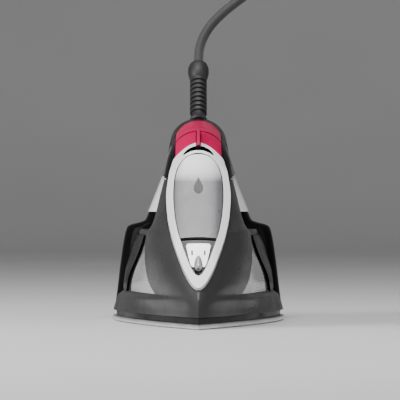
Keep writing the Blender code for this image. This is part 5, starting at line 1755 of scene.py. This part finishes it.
def rail_caps():
    """The slim grey bars that run up the handle from the white inserts."""
    shape = ((17.2, 120.0), (19.0, 119.6), (25.6, 99.6), (22.4, 99.2))
    for side, sign in (("left", -1), ("right", 1)):
        outline = softened([(sign * x, z) for x, z in shape], 0.7)
        obj = extruded(f"rail_cap_{side}", outline, 76.0, 88.0, "Y", "rail_grey")
        bevel(obj, 0.4, 2, 50)


SLOT_REACH = 0.0128  # from the slot's centre, in metres
SLOT_LOW = 0.108  # height of the slot's foot, in metres


def paint_slot_shade():
    """Paints shade into the lever's slot: its walls take the black finish, standing in for the shade
    inside the recess.
    """
    obj = MADE["front_bezel"]
    obj.data.materials.append(FINISHES["black_plastic"])
    s = crescent_middle()
    centre = Vector(front_point(0.0, s, 0.0)) * MM
    _, (ny, nz), _ = spine(s)
    for face in obj.data.polygons:
        level = abs(face.normal.y * ny + face.normal.z * nz)
        near = (face.center - centre).length < SLOT_REACH and face.center.z > SLOT_LOW
        # Painted shade: walls of the slot that face sideways are made black.
        if near and level < 0.5:
            face.material_index = 1


# ---------------------------------------------------------------- studio

FLOOR_DROP = 0.0005  # under the sole, in metres


def studio_floor():
    bm = bmesh.new()
    rows = [[bm.verts.new(p) for p in row] for row in floor_rows()]
    for near, far in zip(rows, rows[1:]):
        bm.faces.new((near[0], near[1], far[1], far[0]))
    floor = add("studio_floor", bm_mesh("studio_floor", bm), floor_paint())
    for face in floor.data.polygons:
        face.use_smooth = True


def floor_rows():
    """A floor that curves up into a backdrop behind the iron, in metres."""
    front, back, radius, wide, top = -6.0, 3.4, 1.2, 6.0, 4.0
    profile = [(front, 0.0), (back, 0.0)]
    for k in range(1, 17):
        turn = pi / 2 * k / 16
        profile.append((back + radius * sin(turn), radius * (1 - cos(turn))))
    profile.append((back + radius, top))
    return [[(-wide, y, z - FLOOR_DROP), (wide, y, z - FLOOR_DROP)] for y, z in profile]


def area_light(name, place, target, size, power):
    light = bpy.data.lights.new(name, "AREA")
    light.shape = "RECTANGLE"
    light.size, light.size_y = size
    light.energy = power
    obj = bpy.data.objects.new(name, light)
    obj.location = place
    way = Vector(target) - Vector(place)
    obj.rotation_euler = way.to_track_quat("-Z", "Y").to_euler()
    bpy.context.scene.collection.objects.link(obj)


# Name, place, what it points at, size and power, in metres and watts
LIGHTS = (
    ("key", (-1.3, -0.9, 0.7), (0.0, 0.0, 0.07), (0.8, 0.9), 26.0),
    ("top", (-0.1, -0.5, 1.5), (0.0, 0.0, 0.08), (1.0, 1.0), 24.0),
    ("fill", (1.5, -1.0, 0.6), (0.0, 0.0, 0.08), (0.7, 1.0), 5.0),
)
ROOM_GREY = (0.8, 0.8, 0.8, 1.0)
ROOM_STRENGTH = 0.22


def studio_lights():
    for light in LIGHTS:
        area_light(*light)
    world = bpy.data.worlds.new("room")
    world.use_nodes = True
    background = world.node_tree.nodes["Background"]
    background.inputs["Color"].default_value = ROOM_GREY
    background.inputs["Strength"].default_value = ROOM_STRENGTH
    bpy.context.scene.world = world


# ---------------------------------------------------------------- the whole iron

plug()
cord_tie()
make_cord(
    [finished(name) for name in ("plug_body", "plug_pin_left", "plug_pin_right", "cord_tie")]
)
soleplate()
heat_shield()
body_shell()
tank_windows()
side_panels()
front_bezel()
front_panel()
nozzle_bezel()
spray_nozzle()
fill_door()
drop_mark()
steam_lever()
steam_lever_insert()
handle_shell()
strip_pieces()
dial_ring()
temperature_dial()
pilot_light_lens()
rear_cover()
pillar_inserts()
rail_caps()
cord_ball()
cord_guard()

for name in (
    "soleplate heat_shield body_shell tank_window_left tank_window_right side_panel_left "
    "side_panel_right front_bezel front_panel nozzle_bezel spray_nozzle handle_shell front_cover "
    "handle_inlay dial_ring pilot_light_lens rear_cover rail_insert_left rail_insert_right"
).split():
    finished(name)
for name in ("fill_door", "spray_button", "steam_button", "steam_lever", "temperature_dial"):
    finished(name, name)
finished("drop_mark", "fill_door", stands_for_node=False)
finished("rail_cap_left", stands_for_node=False)
finished("rail_cap_right", stands_for_node=False)
paint_slot_shade()
blacken_bands()
squash_springs()
finished("steam_lever_insert", "steam_lever")
finished("cord_ball", "cord_guard")
finished("cord_guard", "cord_guard")
for obj in CUTTERS:
    bpy.data.objects.remove(obj, do_unlink=True)
studio_floor()
studio_lights()
